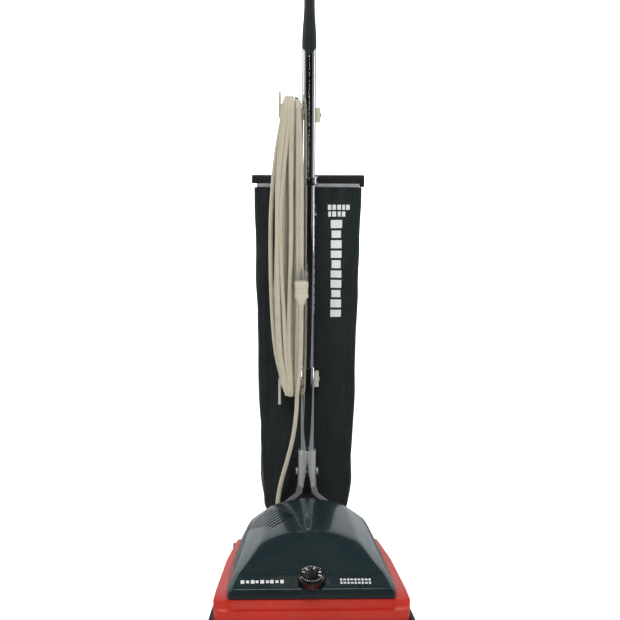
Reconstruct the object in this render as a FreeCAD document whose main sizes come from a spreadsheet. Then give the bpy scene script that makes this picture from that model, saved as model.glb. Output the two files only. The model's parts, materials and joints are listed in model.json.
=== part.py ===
"""Upright commercial vacuum cleaner, in millimetres.

+Z is up and the floor is z = 0. The nose points along -Y, so the operator stands on the +Y side. The origin is on
the floor under the middle of the machine. Every driving size is in the Dims spreadsheet.
"""
import FreeCAD, Part
import Sketcher
import math
import os
import re

V = FreeCAD.Vector
doc = FreeCAD.newDocument("UprightVacuum")

# ---------------------------------------------------------------- driving dimensions

SIZES = {
    # nozzle housing: half widths and stations from nose to rear
    "nose_y": -228, "nose_half": 155, "corner_y": -212, "corner_half": 165, "cheek_y": -175, "cheek_half": 162,
    "mid_y": -115, "mid_half": 156, "waist_y": -38, "waist_half": 147.5, "rear_y": 60, "rear_half": 130,
    "housing_floor": 14, "housing_top": 79, "lip_seat": 77, "nose_top": 68, "housing_wall": 4,
    "chamber_half": 148, "chamber_front": -221, "chamber_back": -163, "chamber_top": 61, "partition": 6,
    "belt_slot_half": 24, "belt_slot_front": -202.5, "duct_notch_left": 10,
    # hood: stations, and the centre, crease, shoulder and rim of each cross-section
    "hood_gap": 0.3, "hood_wall": 3.5,
    "tail_y": 44.5, "tail_top": 167, "tail_crease": 68, "tail_crease_z": 152, "tail_side": 104, "tail_side_z": 125,
    "tail_rim": 125,
    "back_y": -39, "back_top": 163.5, "back_crease": 77, "back_crease_z": 147.5, "back_side": 113,
    "back_side_z": 120, "back_rim": 135,
    "ridge_y": -105, "ridge_top": 158, "ridge_crease": 84, "ridge_crease_z": 141, "ridge_side": 121,
    "ridge_side_z": 113, "ridge_rim": 140,
    "slope_y": -150, "slope_top": 122.5, "slope_crease": 107, "slope_crease_z": 119, "slope_side": 128,
    "slope_side_z": 104, "slope_rim": 141,
    "deck_y": -170, "deck_top": 106.5, "deck_crease": 122, "deck_crease_z": 105.5, "deck_side": 136,
    "deck_side_z": 98, "deck_rim": 141,
    "lip_y": -203, "lip_top": 95.5, "lip_crease": 132, "lip_crease_z": 95.5, "lip_side": 139.5, "lip_side_z": 92,
    "lip_rim": 141,
    "louvre_count": 9, "louvre_length": 52, "louvre_width": 3.6, "louvre_pitch": 9.5, "louvre_turn": 38,
    "louvre_x": -70, "louvre_y": -18,
    # height knob on the sloping deck
    "knob_radius": 23.2, "knob_height": 16, "knob_y": -185, "knob_shaft": 5, "knob_well": 25,
    # furniture bumper and bottom plate
    "bumper_depth": 9.5, "bumper_low": 18, "bumper_top": 44,
    "plate_low": 12.2, "plate_gauge": 1.5, "plate_half": 152, "plate_back": -153.5, "slot_half": 146,
    "slot_front": -214, "slot_back": -170, "bar_width": 5, "bar_pitch": 73,
    # brush roll, across the nozzle
    "roll_y": -192, "roll_z": 32, "dowel_radius": 17.5, "dowel_half": 143, "groove_radius": 13.5, "groove_half": 7,
    "pin_radius": 4, "bristle_tip": 26, "tuft_radius": 2.6, "tuft_count": 12, "running_gap": 0.05,
    # motor along the machine
    "motor_z": 84, "motor_front": -77, "motor_back": 24, "motor_radius": 50, "motor_wall": 3, "shaft_radius": 4.5,
    "shaft_front": -184.5, "shaft_back": 22, "core_radius": 24, "field_inner": 25.5, "field_outer": 46.5,
    "core_front": -58, "core_back": 0, "fan_radius": 50, "fan_front": -106, "fan_back": -84,
    "scroll_front": -112, "scroll_back": -78, "scroll_radius": 56, "intake_radius": 24, "intake_back": -112.4,
    "intake_front": -156.5, "pulley_radius": 8, "pulley_front": -184, "pulley_back": -172, "belt_radius": 1.6,
    # exhaust and bag port
    "duct_radius": 15.5, "duct_wall": 2, "duct_z": 60, "duct_side": 76, "port_y": 104, "port_low": 88,
    "port_top": 104, "port_radius": 21,
    # wheels
    "rear_wheel_radius": 35, "rear_wheel_y": 88, "rear_wheel_in": 87, "rear_wheel_out": 105, "rear_axle_radius": 5,
    "front_wheel_radius": 18, "front_wheel_y": -134, "front_wheel_in": 50, "front_wheel_out": 64,
    "carriage_y": -98, "carriage_z": 22, "axle_radius": 3,
    # handle pivot, bail and tubes
    "pivot_y": 107.5, "pivot_z": 75, "lug_in": 68, "lug_out": 76, "strap_in": 77, "strap_out": 83, "boss_radius": 14,
    "lower_radius": 14.3, "lower_low": 200, "lower_top": 400, "upper_radius": 12.7, "upper_low": 380,
    "upper_top": 967, "tube_wall": 1.4, "shell_radius": 16.6, "shell_low": 168, "shell_top": 239,
    "strap_gauge": 4, "notch_half": 9.5, "bolt_z": 197, "bolt_radius": 4,
    # grip
    "grip_half_width": 9.6, "grip_half_depth": 14, "grip_straight": 108, "grip_bend": 90, "grip_turn": 50,
    "grip_end": 66, "switch_z": 1040,
    # cord hooks
    "upper_hook_low": 850, "upper_hook_top": 876, "upper_tip_low": 858, "upper_tip_top": 904,
    "lower_hook_low": 362, "lower_hook_top": 391, "lower_tip_low": 331, "lower_tip_top": 378,
    "hook_ring": 16.6, "hook_front": 94, "hook_back": 110, "tip_out": 54.5, "tip_in": 50,
    # bag, bar and sliding clip
    "bag_front": 128, "bag_wall": 2, "bar_low": 738.5, "bar_top": 753, "bar_half": 103, "bar_front": 130,
    "bar_back": 150, "slide_low": 732, "slide_half": 94, "neck_z": 132, "neck_radius": 20,
    # power cord, 15.2 m in all
    "cord_radius": 4, "hank_front": 76, "hank_back": 120.5, "hank_top": 893, "hank_low": 358,
    "plug_x": -13, "plug_front": 50, "plug_back": 74, "plug_low": 528, "plug_top": 570,
    "relief_x": -57, "relief_y": 54.5, "relief_top": 105,
    # release pedal at the rear left
    "pedal_y": 70, "pedal_z": 48, "pedal_out": 128.5, "pedal_in": 121.5, "pedal_back": 118,
}

sheet = doc.addObject("Spreadsheet::Sheet", "Dims")
for row, (name, number) in enumerate(SIZES.items(), 1):
    sheet.set(f"A{row}", name.replace("_", " "))
    sheet.set(f"B{row}", str(number))
    sheet.setAlias(f"B{row}", name)
doc.recompute()

WORDS = re.compile(r"\b(" + "|".join(sorted(SIZES, key=len, reverse=True)) + r")\b")
NODES = []


def bound(text):
    """The expression with each size's name pointing into the spreadsheet."""
    return WORDS.sub(r"Dims.\1", str(text))


def size(text):
    """The value of an expression in the sheet's names."""
    return float(sheet.evalExpression(bound(text)))


def bind(thing, **expressions):
    for field, text in expressions.items():
        thing.setExpression(field.replace("__", "."), bound(text))


def place(thing, x=0, y=0, z=0, turn=None):
    """Puts a thing at bound coordinates, turned first by (axis, degrees) if given."""
    if turn:
        thing.Placement = FreeCAD.Placement(V(), FreeCAD.Rotation(V(*turn[0]), turn[1]))
    bind(thing, Placement__Base__x=x, Placement__Base__y=y, Placement__Base__z=z)


def node(thing, label):
    """Names a finished sub-part, which is then written to a file of that name."""
    thing.Label = label
    NODES.append(thing)
    return thing


# ---------------------------------------------------------------- primitives and booleans

ALONG = {"x": ((0, 1, 0), 90), "y": ((1, 0, 0), -90), "z": None}


def rod(name, axis, radius, start, end, x=0, y=0, z=0):
    """A solid cylinder along an axis between two bound stations."""
    thing = doc.addObject("Part::Cylinder", name)
    bind(thing, Radius=radius, Height=f"({end}) - ({start})")
    centre = {"x": x, "y": y, "z": z, axis: start}
    place(thing, turn=ALONG[axis], **centre)
    return thing


def block(name, x, y, z):
    """A box between bound (low, high) pairs."""
    thing = doc.addObject("Part::Box", name)
    bind(thing, Length=f"({x[1]}) - ({x[0]})", Width=f"({y[1]}) - ({y[0]})", Height=f"({z[1]}) - ({z[0]})")
    place(thing, x[0], y[0], z[0])
    return thing


def fuse(name, *things):
    thing = doc.addObject("Part::MultiFuse", name)
    thing.Shapes = list(things)
    return thing


def cut(name, base, *tools):
    thing = doc.addObject("Part::Cut", name)
    thing.Base = base
    thing.Tool = tools[0] if len(tools) == 1 else fuse(name + "_tools", *tools)
    return thing


def tube(name, axis, outer, inner, start, end, x=0, y=0, z=0):
    """A hollow cylinder; the bore runs a little past both ends."""
    body = rod(name + "_outer", axis, outer, start, end, x, y, z)
    bore = rod(name + "_bore", axis, inner, f"({start}) - 1", f"({end}) + 1", x, y, z)
    return cut(name, body, bore)


def mirrored(side, low, high):
    """A (low, high) pair on the right (+1) or left (-1) of the middle."""
    return (low, high) if side > 0 else (f"-({high})", f"-({low})")


SIDES = {"left": -1, "right": 1}


# ---------------------------------------------------------------- sketches and bodies


def outline(sketch, points):
    """A closed polygon whose corners are bound to the sheet."""
    corners = [V(size(a), size(b), 0) for a, b in points]
    first = sketch.GeometryCount
    count = len(points)
    for k in range(count):
        sketch.addGeometry(Part.LineSegment(corners[k], corners[(k + 1) % count]), False)
    for k in range(count):
        here, following = first + k, first + (k + 1) % count
        sketch.addConstraint(Sketcher.Constraint("Coincident", here, 2, following, 1))
    for k, (a, b) in enumerate(points):
        for way, text, number in (("DistanceX", a, corners[k].x), ("DistanceY", b, corners[k].y)):
            at = sketch.addConstraint(Sketcher.Constraint(way, -1, 1, first + k, 1, number))
            if WORDS.search(str(text)):
                sketch.setExpression(f"Constraints[{at}]", bound(text))


def body_sketch(body, plane, name):
    """A sketch on one of the body's own origin planes."""
    sketch = body.newObject("Sketcher::SketchObject", name)
    support = [f for f in body.Origin.OriginFeatures if f.Role == plane + "_Plane"][0]
    sketch.AttachmentSupport = (support, [""])
    sketch.MapMode = "FlatFace"
    return sketch


def new_body(label):
    return node(doc.addObject("PartDesign::Body", label), label)


def pad(body, name, plane, points, length, both_ways=False, backwards=False):
    sketch = body_sketch(body, plane, name + "_outline")
    outline(sketch, points)
    feature = body.newObject("PartDesign::Pad", name)
    feature.Profile = sketch
    feature.Midplane = both_ways
    feature.Reversed = backwards
    bind(feature, Length=length)
    doc.recompute()
    return feature


def pocket(body, name, plane, points, length, both_ways=False, backwards=False, offset=0):
    """A pocket that must take material away."""
    before = body.Shape.Volume
    sketch = body_sketch(body, plane, name + "_outline")
    outline(sketch, points)
    bind(sketch, AttachmentOffset__Base__z=offset)
    feature = body.newObject("PartDesign::Pocket", name)
    feature.Profile = sketch
    feature.Midplane = both_ways
    feature.Reversed = backwards
    bind(feature, Length=length)
    doc.recompute()
    if body.Shape.Volume > before - 1:
        raise RuntimeError(name + " cuts nothing")
    return feature


def turned(label, points, axis="V_Axis"):
    """A body revolved about the sketch's own vertical axis, from (radius, station) points."""
    body = new_body(label)
    sketch = body_sketch(body, "XZ", label + "_profile")
    outline(sketch, points)
    feature = body.newObject("PartDesign::Revolution", label + "_turning")
    feature.Profile = sketch
    feature.ReferenceAxis = (sketch, [axis])
    feature.Angle = 360
    doc.recompute()
    return body


def loft(name, sections):
    """A ruled loft through closed sketches that lie across Y or Z: (station, axis, points) each."""
    sketches = []
    for k, (station, axis, points) in enumerate(sections):
        sketch = doc.addObject("Sketcher::SketchObject", f"{name}_section_{k}")
        outline(sketch, points)
        if axis == "y":
            place(sketch, 0, station, 0, ((1, 0, 0), 90))
        else:
            place(sketch, 0, 0, station)
        sketches.append(sketch)
    thing = doc.addObject("Part::Loft", name)
    thing.Sections = sketches
    thing.Solid = True
    thing.Ruled = True
    return thing


# ---------------------------------------------------------------- bent tubes


def rounded_path(points, radii):
    """One wire of straight runs joined by tangent arcs."""
    edges = []
    position = points[0]
    for k in range(1, len(points) - 1):
        here = points[k]
        back = (points[k - 1] - here).normalize()
        ahead = (points[k + 1] - here).normalize()
        half_turn = (math.pi - back.getAngle(ahead)) / 2
        reach = radii[k] * math.tan(half_turn)
        middle = (back + ahead).normalize()
        summit = here + middle * (radii[k] / math.cos(half_turn) - radii[k])
        start, end = here + back * reach, here + ahead * reach
        edges.append(Part.LineSegment(position, start).toShape())
        edges.append(Part.Arc(start, summit, end).toShape())
        position = end
    edges.append(Part.LineSegment(position, points[-1]).toShape())
    return Part.Wire(edges)


def swept(wire, radius, start, direction):
    """A round bar along a wire."""
    ring = Part.Wire([Part.Circle(start, direction, radius).toShape()])
    return wire.makePipeShell([ring], True, True)


def bent_tube(points, radii, radius):
    wire = rounded_path(points, radii)
    return wire, swept(wire, radius, points[0], points[1] - points[0])


def made(name, shape):
    """A feature whose shape comes from code."""
    thing = doc.addObject("Part::Feature", name)
    thing.Shape = shape
    return thing


# ---------------------------------------------------------------- nozzle housing


def two_sided(points):
    """A closed outline from its right half, front to back, mirrored to the left."""
    return points + [(f"-({x})", y) for x, y in reversed(points)]


def nozzle_housing():
    """The red base: brush chamber at the nose, motor bay behind it, pivot and pedal lugs at the rear."""
    body = new_body("nozzle_shell")
    NODES.remove(body)
    edge = [("nose_half", "nose_y"), ("corner_half", "corner_y"), ("cheek_half", "cheek_y"),
            ("mid_half", "mid_y"), ("waist_half", "waist_y"), ("rear_half", "rear_y")]
    pad(body, "nozzle_block", "XY", two_sided(edge), "housing_top - housing_floor")
    above = [("nose_y - 20", "nose_top - housing_floor - 3"), ("nose_y + 7", "nose_top - housing_floor"),
             ("lip_y", "lip_seat - housing_floor"), ("deck_y + 5", "housing_top - housing_floor"),
             ("deck_y + 5", "housing_top + 5"), ("nose_y - 20", "housing_top + 5")]
    pocket(body, "top_slope", "YZ", above, "corner_half * 2 + 20", both_ways=True)
    chamber = two_sided([("chamber_half", "chamber_front"), ("chamber_half", "chamber_back")])
    pocket(body, "brush_chamber", "XY", chamber, "chamber_top - housing_floor", backwards=True)
    bay = [("slope_rim - 8", "chamber_back + partition"), ("ridge_rim - 8", "ridge_y"),
           ("back_rim - 8", "back_y"), ("tail_rim - 8", "tail_y - hood_wall")]
    pocket(body, "motor_bay", "XY", two_sided(bay), "housing_top - housing_floor",
           backwards=True, offset="housing_wall")
    belt_slot = two_sided([("belt_slot_half", "belt_slot_front"), ("belt_slot_half", "chamber_back")])
    pocket(body, "belt_slot", "XY", belt_slot, "housing_top", backwards=True, offset="chamber_top - housing_floor - 5")
    place(body, 0, 0, "housing_floor")

    lugs, bores = [], []
    for side, sign in SIDES.items():
        lugs.append(block(f"pivot_lug_{side}", mirrored(sign, "lug_in", "lug_out"),
                          ("rear_y - housing_wall", "pivot_y"), ("housing_floor", "pivot_z + boss_radius - 4")))
        lugs.append(rod(f"pivot_boss_{side}", "x", "boss_radius", *mirrored(sign, "lug_in", "lug_out"),
                        y="pivot_y", z="pivot_z"))
        lugs.append(block(f"carriage_lug_{side}", mirrored(sign, "70.5", "78"),
                          ("carriage_y - 8", "carriage_y + 8"), ("housing_floor", "carriage_z + 8")))
    for name, low, high in (("outer", "pedal_out + 0.5", "pedal_out + 6.5"), ("inner", "108.5", "114.5")):
        lugs.append(block(f"pedal_lug_{name}", mirrored(-1, low, high), ("rear_y - 4", "pedal_y + 9"),
                          ("pedal_z - 12", "pedal_z + 9")))
    bores.append(block("carriage_opening", ("-69", "69"), ("chamber_back + 8", "carriage_y + 10"),
                       ("housing_floor - 5", "housing_floor + 9")))
    bores.append(rod("carriage_pin_bore", "x", "axle_radius + running_gap", "-90", "90",
                     y="carriage_y", z="carriage_z"))
    bores.append(rod("rear_axle_bore", "x", "rear_axle_radius", "-120", "120", y="rear_wheel_y",
                     z="rear_wheel_radius"))
    bores.append(rod("pivot_pin_bore", "x", "6", "-100", "100", y="pivot_y", z="pivot_z"))
    bores.append(rod("pedal_pin_bore", "x", "3", "-140", "-100", y="pedal_y", z="pedal_z"))
    bores.append(block("duct_notch", ("duct_notch_left", "lug_out - 2"), ("tail_y - 10", "rear_y - housing_wall"),
                       ("duct_z - 20", "housing_top + 5")))
    bores.append(block("duct_gate", ("duct_notch_left", "lug_in - 2"), ("rear_y - 5", "rear_y + 5"),
                       ("duct_z - 20", "housing_top + 5")))
    for side, sign in SIDES.items():
        bores.append(rod(f"wheel_arch_{side}", "x", "rear_wheel_radius + 3",
                         *mirrored(sign, "rear_wheel_in - 2", "rear_wheel_out + 2"), y="rear_wheel_y",
                         z="rear_wheel_radius"))
    bores.append(rod("relief_seat", "z", "6.5", "housing_top - 12", "housing_top + 5", "relief_x", "relief_y"))
    node(cut("nozzle_housing", fuse("nozzle_body", body, *lugs), *bores), "nozzle_housing")


# ---------------------------------------------------------------- hood and knob

HOOD_STATIONS = ["tail", "back", "ridge", "slope", "deck", "lip"]


def hood_sections(inset, rim_drop):
    """Cross-sections of the hood; the inset shrinks them for the hollow inside."""
    sections = []
    for k, name in enumerate(HOOD_STATIONS):
        shift = {0: f"- {inset}", len(HOOD_STATIONS) - 1: f"+ {inset}"}.get(k, "")
        rim = "lip_seat + hood_gap" if name == "lip" else "housing_top + hood_gap"
        half = [(f"{name}_rim - {inset}", f"{rim} - {rim_drop}"),
                (f"{name}_side - {inset} * 0.8", f"{name}_side_z - {inset} * 0.6"),
                (f"{name}_crease - {inset} * 0.4", f"{name}_crease_z - {inset}")]
        middle = [("0", f"{name}_top - {inset}")]
        other = [(f"-({x})", z) for x, z in reversed(half)]
        sections.append((f"{name}_y {shift}", "y", half + middle + other))
    return sections


def deck_slope():
    """Tilt of the deck behind the lip, in degrees, and its height under the knob."""
    rise, run = size("deck_top - lip_top"), size("deck_y - lip_y")
    height = size("lip_top") + rise / run * size("knob_y - lip_y")
    return math.degrees(math.atan2(rise, run)), height


def on_deck(name, radius, low, high):
    """A cylinder along the knob's axis, measured from the deck's surface."""
    tilt, height = deck_slope()
    axis = FreeCAD.Rotation(V(1, 0, 0), tilt)
    thing = doc.addObject("Part::Cylinder", name)
    bind(thing, Radius=radius, Height=f"({high}) - ({low})")
    thing.Placement = FreeCAD.Placement(V(0, size("knob_y"), height) + axis.multVec(V(0, 0, size(low))), axis)
    return thing


def hood():
    outer = loft("hood_outer", hood_sections("0", "0"))
    inner = loft("hood_inner", hood_sections("hood_wall", "6"))
    well_wall = on_deck("well_wall", "knob_well + hood_wall", "0 - hood_wall", "60")
    inside = cut("hood_inside", inner, well_wall)
    well = on_deck("knob_well_cut", "knob_well", "0", "60")
    stem = on_deck("knob_stem_bore", "knob_shaft + running_gap", "-12", "5")
    slots = []
    for k in range(int(size("louvre_count"))):
        slot = doc.addObject("Part::Box", f"louvre_{k}")
        bind(slot, Length="louvre_length", Width="louvre_width", Height=40)
        turn = size("louvre_turn")
        across = V(-math.sin(math.radians(turn)), math.cos(math.radians(turn)), 0)
        corner = V(size("louvre_x"), size("louvre_y"), 125) - across * (k * size("louvre_pitch"))
        corner = corner + V(1.5 * k, -1.5 * k, 0)
        slot.Placement = FreeCAD.Placement(corner, FreeCAD.Rotation(V(0, 0, 1), turn))
        slots.append(slot)
    node(cut("hood", outer, inside, well, stem, *slots), "hood")


def height_knob():
    """A ribbed round knob with a short stem through the deck."""
    tilt, height = deck_slope()
    points = [("0", "-4.5"), ("knob_shaft", "-4.5"), ("knob_shaft", "0.4"), ("knob_radius", "0.4"),
              ("knob_radius - 0.6", "knob_height - 3"), ("knob_radius - 3", "knob_height"), ("0", "knob_height")]
    body = turned("height_knob", points)
    grip = body_sketch(body, "XY", "knob_grip_outline")
    outline(grip, [("-3", "knob_radius - 1.2"), ("3", "knob_radius - 1.2"), ("3", "knob_radius + 3"),
                   ("-3", "knob_radius + 3")])
    notch = body.newObject("PartDesign::Pocket", "knob_notch")
    notch.Profile = grip
    notch.Midplane = True
    bind(notch, Length="knob_height * 3")
    doc.recompute()
    ring = body.newObject("PartDesign::PolarPattern", "knob_notches")
    ring.Originals = [notch]
    ring.Axis = (grip, ["N_Axis"])
    ring.Angle = 360
    ring.Occurrences = 12
    body.Tip = ring
    doc.recompute()
    body.Placement = FreeCAD.Placement(V(0, size("knob_y"), height), FreeCAD.Rotation(V(1, 0, 0), tilt))


def furniture_bumper():
    body = new_body("furniture_bumper")
    inner = [("nose_half", "nose_y"), ("corner_half", "corner_y"), ("cheek_half", "cheek_y"),
             ("mid_half", "mid_y"), ("waist_half", "waist_y")]
    outer = [("nose_half + 5", "nose_y - bumper_depth"), ("corner_half + bumper_depth - 0.5", "corner_y - 4"),
             ("cheek_half + bumper_depth - 1", "cheek_y"), ("mid_half + bumper_depth - 1", "mid_y"),
             ("waist_half + bumper_depth - 2", "waist_y")]
    inward = [(f"{x} + 0.2", f"{y} - 0.2") for x, y in inner[:1]] + [(f"{x} + 0.2", y) for x, y in inner[1:]]
    left_inner = [(f"-({x})", y) for x, y in inward]
    left_outer = [(f"-({x})", y) for x, y in reversed(outer)]
    ring = outer + list(reversed(inward)) + left_inner + left_outer
    pad(body, "bumper_strip", "XY", ring, "bumper_top - bumper_low")
    place(body, 0, 0, "bumper_low")


def bottom_plate():
    """Steel plate under the nozzle: one long slot crossed by bars."""
    sheet_metal = block("plate_blank", ("-plate_half", "plate_half"), ("nose_y + 4", "plate_back"),
                        ("plate_low", "plate_low + plate_gauge"))
    edges = ["-slot_half"]
    for k in (-1, 0, 1):
        centre = f"{k} * bar_pitch + bar_pitch / 4"
        edges += [f"{centre} - bar_width / 2", f"{centre} + bar_width / 2"]
    edges.append("slot_half")
    slots = []
    for k in range(0, len(edges), 2):
        slots.append(block(f"plate_slot_{k // 2}", (edges[k], edges[k + 1]), ("slot_front", "slot_back"),
                           ("plate_low - 2", "plate_low + 4")))
    for side, sign in SIDES.items():
        slots.append(rod(f"latch_hole_{side}", "z", "3 + running_gap", "plate_low - 2", "plate_low + 4",
                         f"{sign * 120}", "plate_back - 7"))
    node(cut("bottom_plate", sheet_metal, *slots), "bottom_plate")
    for side, sign in SIDES.items():
        stem = rod(f"latch_stem_{side}", "z", "3", "plate_low - 0.5", "housing_floor - 0.1",
                   f"{sign * 120}", "plate_back - 7")
        wing = block(f"latch_wing_{side}", (f"{sign * 120} - 14", f"{sign * 120} + 6"),
                     ("plate_back - 12", "plate_back - 2"), ("plate_low - 2.2", "plate_low - 0.2"))
        node(fuse(f"plate_latch_{side}", stem, wing), f"plate_latch_{side}")


# ---------------------------------------------------------------- brush roll and belt


def tuft_stations():
    """Where the tufts stand along the roll, clear of the belt groove and the plate's bars."""
    count = int(size("tuft_count"))
    half = size("dowel_half") - 8
    spots = [-half + 2 * half * k / (count - 1) for k in range(count)]
    bars = [size(f"{k} * bar_pitch + bar_pitch / 4") for k in (-1, 0, 1)]
    clear = size("bar_width / 2 + tuft_radius + 1.2")
    groove = size("groove_half + tuft_radius + 1")
    return [x for x in spots if abs(x) > groove and all(abs(x - b) > clear for b in bars)]


def brush_roll():
    profile = [("0", "-dowel_half - 4"), ("pin_radius", "-dowel_half - 4"), ("pin_radius", "-dowel_half"),
               ("dowel_radius", "-dowel_half"), ("dowel_radius", "-groove_half"), ("groove_radius", "-groove_half"),
               ("groove_radius", "groove_half"), ("dowel_radius", "groove_half"), ("dowel_radius", "dowel_half"),
               ("pin_radius", "dowel_half"), ("pin_radius", "dowel_half + 4"), ("0", "dowel_half + 4")]
    dowel = turned("brush_dowel", profile)
    place(dowel, 0, "roll_y", "roll_z", ((0, 1, 0), 90))
    tufts = []
    for row in range(2):
        for k, x in enumerate(tuft_stations()):
            angle = 180 * row + 150 * (x / size("dowel_half"))
            tuft = doc.addObject("Part::Cylinder", f"tuft_{row}_{k}")
            bind(tuft, Radius="tuft_radius", Height="bristle_tip - dowel_radius")
            way = FreeCAD.Rotation(V(1, 0, 0), angle)
            root = V(x, size("roll_y"), size("roll_z")) + way.multVec(V(0, 0, size("dowel_radius")))
            tuft.Placement = FreeCAD.Placement(root, way)
            tufts.append(tuft)
    node(doc.addObject("Part::Compound", "brush_bristles"), "brush_bristles").Links = tufts
    caps = []
    for side, sign in SIDES.items():
        start, end = mirrored(sign, "dowel_half + 0.4", "chamber_half")
        caps.append(tube(f"roll_cap_{side}", "x", "14", "pin_radius + running_gap", start, end,
                         y="roll_y", z="roll_z"))
    node(doc.addObject("Part::Compound", "roll_bearings"), "roll_bearings").Links = caps


def belt():
    """Round belt from the motor pulley, a quarter twist down to the groove of the brush roll."""
    gap = 0.25
    small = size("pulley_radius + belt_radius") + gap
    large = size("groove_radius + belt_radius") + gap
    pulley = V(0, size("(pulley_front + pulley_back) / 2"), size("motor_z"))
    roll = V(0, size("roll_y"), size("roll_z"))
    down = math.hypot(roll.y - pulley.y, roll.z - pulley.z)
    lean = math.atan2(pulley.y - roll.y, pulley.z - roll.z)
    spread = math.asin(large / down)
    run = math.sqrt(down ** 2 - large ** 2)
    corners = []
    for turn in (lean + spread, lean - spread):
        reach = run + large * math.tan(math.pi / 4 + spread / 2)
        corners.append(pulley + V(0, -math.sin(turn), -math.cos(turn)) * reach)
    top = small + 1.7
    left, right = pulley + V(-top, 0, small), pulley + V(top, 0, small)
    join = (right + corners[1]) * 0.5
    butt = (right - corners[1]).normalize() * 0.05
    points = [join, corners[1], corners[0], left, right, join + butt]
    radii = [0, large, large, small - 0.2, small - 0.2, 0]
    node(made("belt", bent_tube(points, radii, size("belt_radius"))[1]), "belt")


# ---------------------------------------------------------------- motor and air path


def motor():
    can = rod("motor_can", "y", "motor_radius", "motor_front", "motor_back", z="motor_z")
    room = rod("motor_room", "y", "motor_radius - motor_wall", "motor_front + motor_wall",
               "motor_back - motor_wall", z="motor_z")
    way = rod("motor_shaft_way", "y", "11", "motor_front - 5", "motor_back + 5", z="motor_z")
    node(cut("motor_housing", can, room, way), "motor_housing")
    field = tube("motor_field", "y", "field_outer", "field_inner", "core_front + 4", "core_back - 4", z="motor_z")
    node(field, "motor_field")
    bearings = []
    for name, start in (("front", "motor_front"), ("rear", "motor_back - motor_wall")):
        bearings.append(tube(f"bearing_{name}", "y", "10.8", "shaft_radius + running_gap", start,
                             f"{start} + motor_wall", z="motor_z"))
    node(doc.addObject("Part::Compound", "motor_bearings"), "motor_bearings").Links = bearings
    shaft = rod("armature_shaft", "y", "shaft_radius", "shaft_front", "shaft_back + 3", z="motor_z")
    node(shaft, "armature_shaft")
    core = rod("core_stack", "y", "core_radius", "core_front", "core_back", z="motor_z")
    commutator = rod("commutator", "y", "14", "core_back", "core_back + 20", z="motor_z")
    bore = rod("core_bore", "y", "shaft_radius", "core_front - 2", "core_back + 30", z="motor_z")
    node(cut("armature_core", fuse("core_and_commutator", core, commutator), bore), "armature_core")
    pulley = tube("motor_pulley", "y", "pulley_radius", "shaft_radius", "pulley_front", "pulley_back", z="motor_z")
    node(pulley, "motor_pulley")


def fan():
    scroll = rod("scroll_outer", "y", "scroll_radius", "scroll_front", "scroll_back", z="motor_z")
    room = rod("scroll_room", "y", "scroll_radius - 3", "scroll_front + 3", "scroll_back - 3", z="motor_z")
    inlet = rod("scroll_inlet", "y", "intake_radius - 3", "scroll_front - 5", "scroll_front + 5", z="motor_z")
    shaft_way = rod("scroll_shaft_way", "y", "shaft_radius + 1", "scroll_front", "scroll_back + 5", z="motor_z")
    outlet = rod("scroll_outlet", "x", "duct_radius - duct_wall - 1", "30", "80",
                 y="(scroll_front + scroll_back) / 2", z="duct_z")
    node(cut("fan_chamber", scroll, room, inlet, shaft_way, outlet), "fan_chamber")
    disc = rod("fan_disc", "y", "fan_radius", "fan_back - 2", "fan_back", z="motor_z")
    hub = rod("fan_hub", "y", "11", "fan_front", "fan_back", z="motor_z")
    blades = []
    for k in range(8):
        blade = doc.addObject("Part::Box", f"fan_blade_{k}")
        bind(blade, Length="fan_radius - 14", Width="fan_back - fan_front - 1", Height=2)
        turn = FreeCAD.Rotation(V(0, 1, 0), 45 * k)
        corner = turn.multVec(V(9, 0, 4)) + V(0, size("fan_front"), size("motor_z"))
        blade.Placement = FreeCAD.Placement(corner, turn)
        blades.append(blade)
    bore = rod("fan_bore", "y", "shaft_radius", "fan_front - 5", "fan_back + 5", z="motor_z")
    node(cut("fan_impeller", fuse("fan_solid", disc, hub, *blades), bore), "fan_impeller")
    node(tube("intake_duct", "y", "intake_radius", "intake_radius - 2.5", "intake_front", "intake_back",
              z="motor_z"), "intake_duct")


def exhaust():
    """Pipe from the fan chamber round the motor to the bag port between the pivot lugs."""
    middle = size("(scroll_front + scroll_back) / 2")
    level = size("duct_z")
    side, port = size("duct_side"), size("port_y")
    start = V(size("scroll_radius") + 0.5, middle, level)
    points = [start, V(side, middle, level), V(side, 12, level), V(0, port, level), V(0, port, size("port_low"))]
    radii = [0, 18, 40, 23, 0]
    wire, solid = bent_tube(points, radii, size("duct_radius"))
    bore = swept(wire, size("duct_radius - duct_wall"), points[0], points[1] - points[0])
    node(made("exhaust_duct", solid.cut(bore)), "exhaust_duct")
    node(tube("bag_port", "z", "port_radius", "port_radius - 3", "port_low + 0.1", "port_top", y="port_y"),
         "bag_port")


# ---------------------------------------------------------------- wheels


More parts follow.
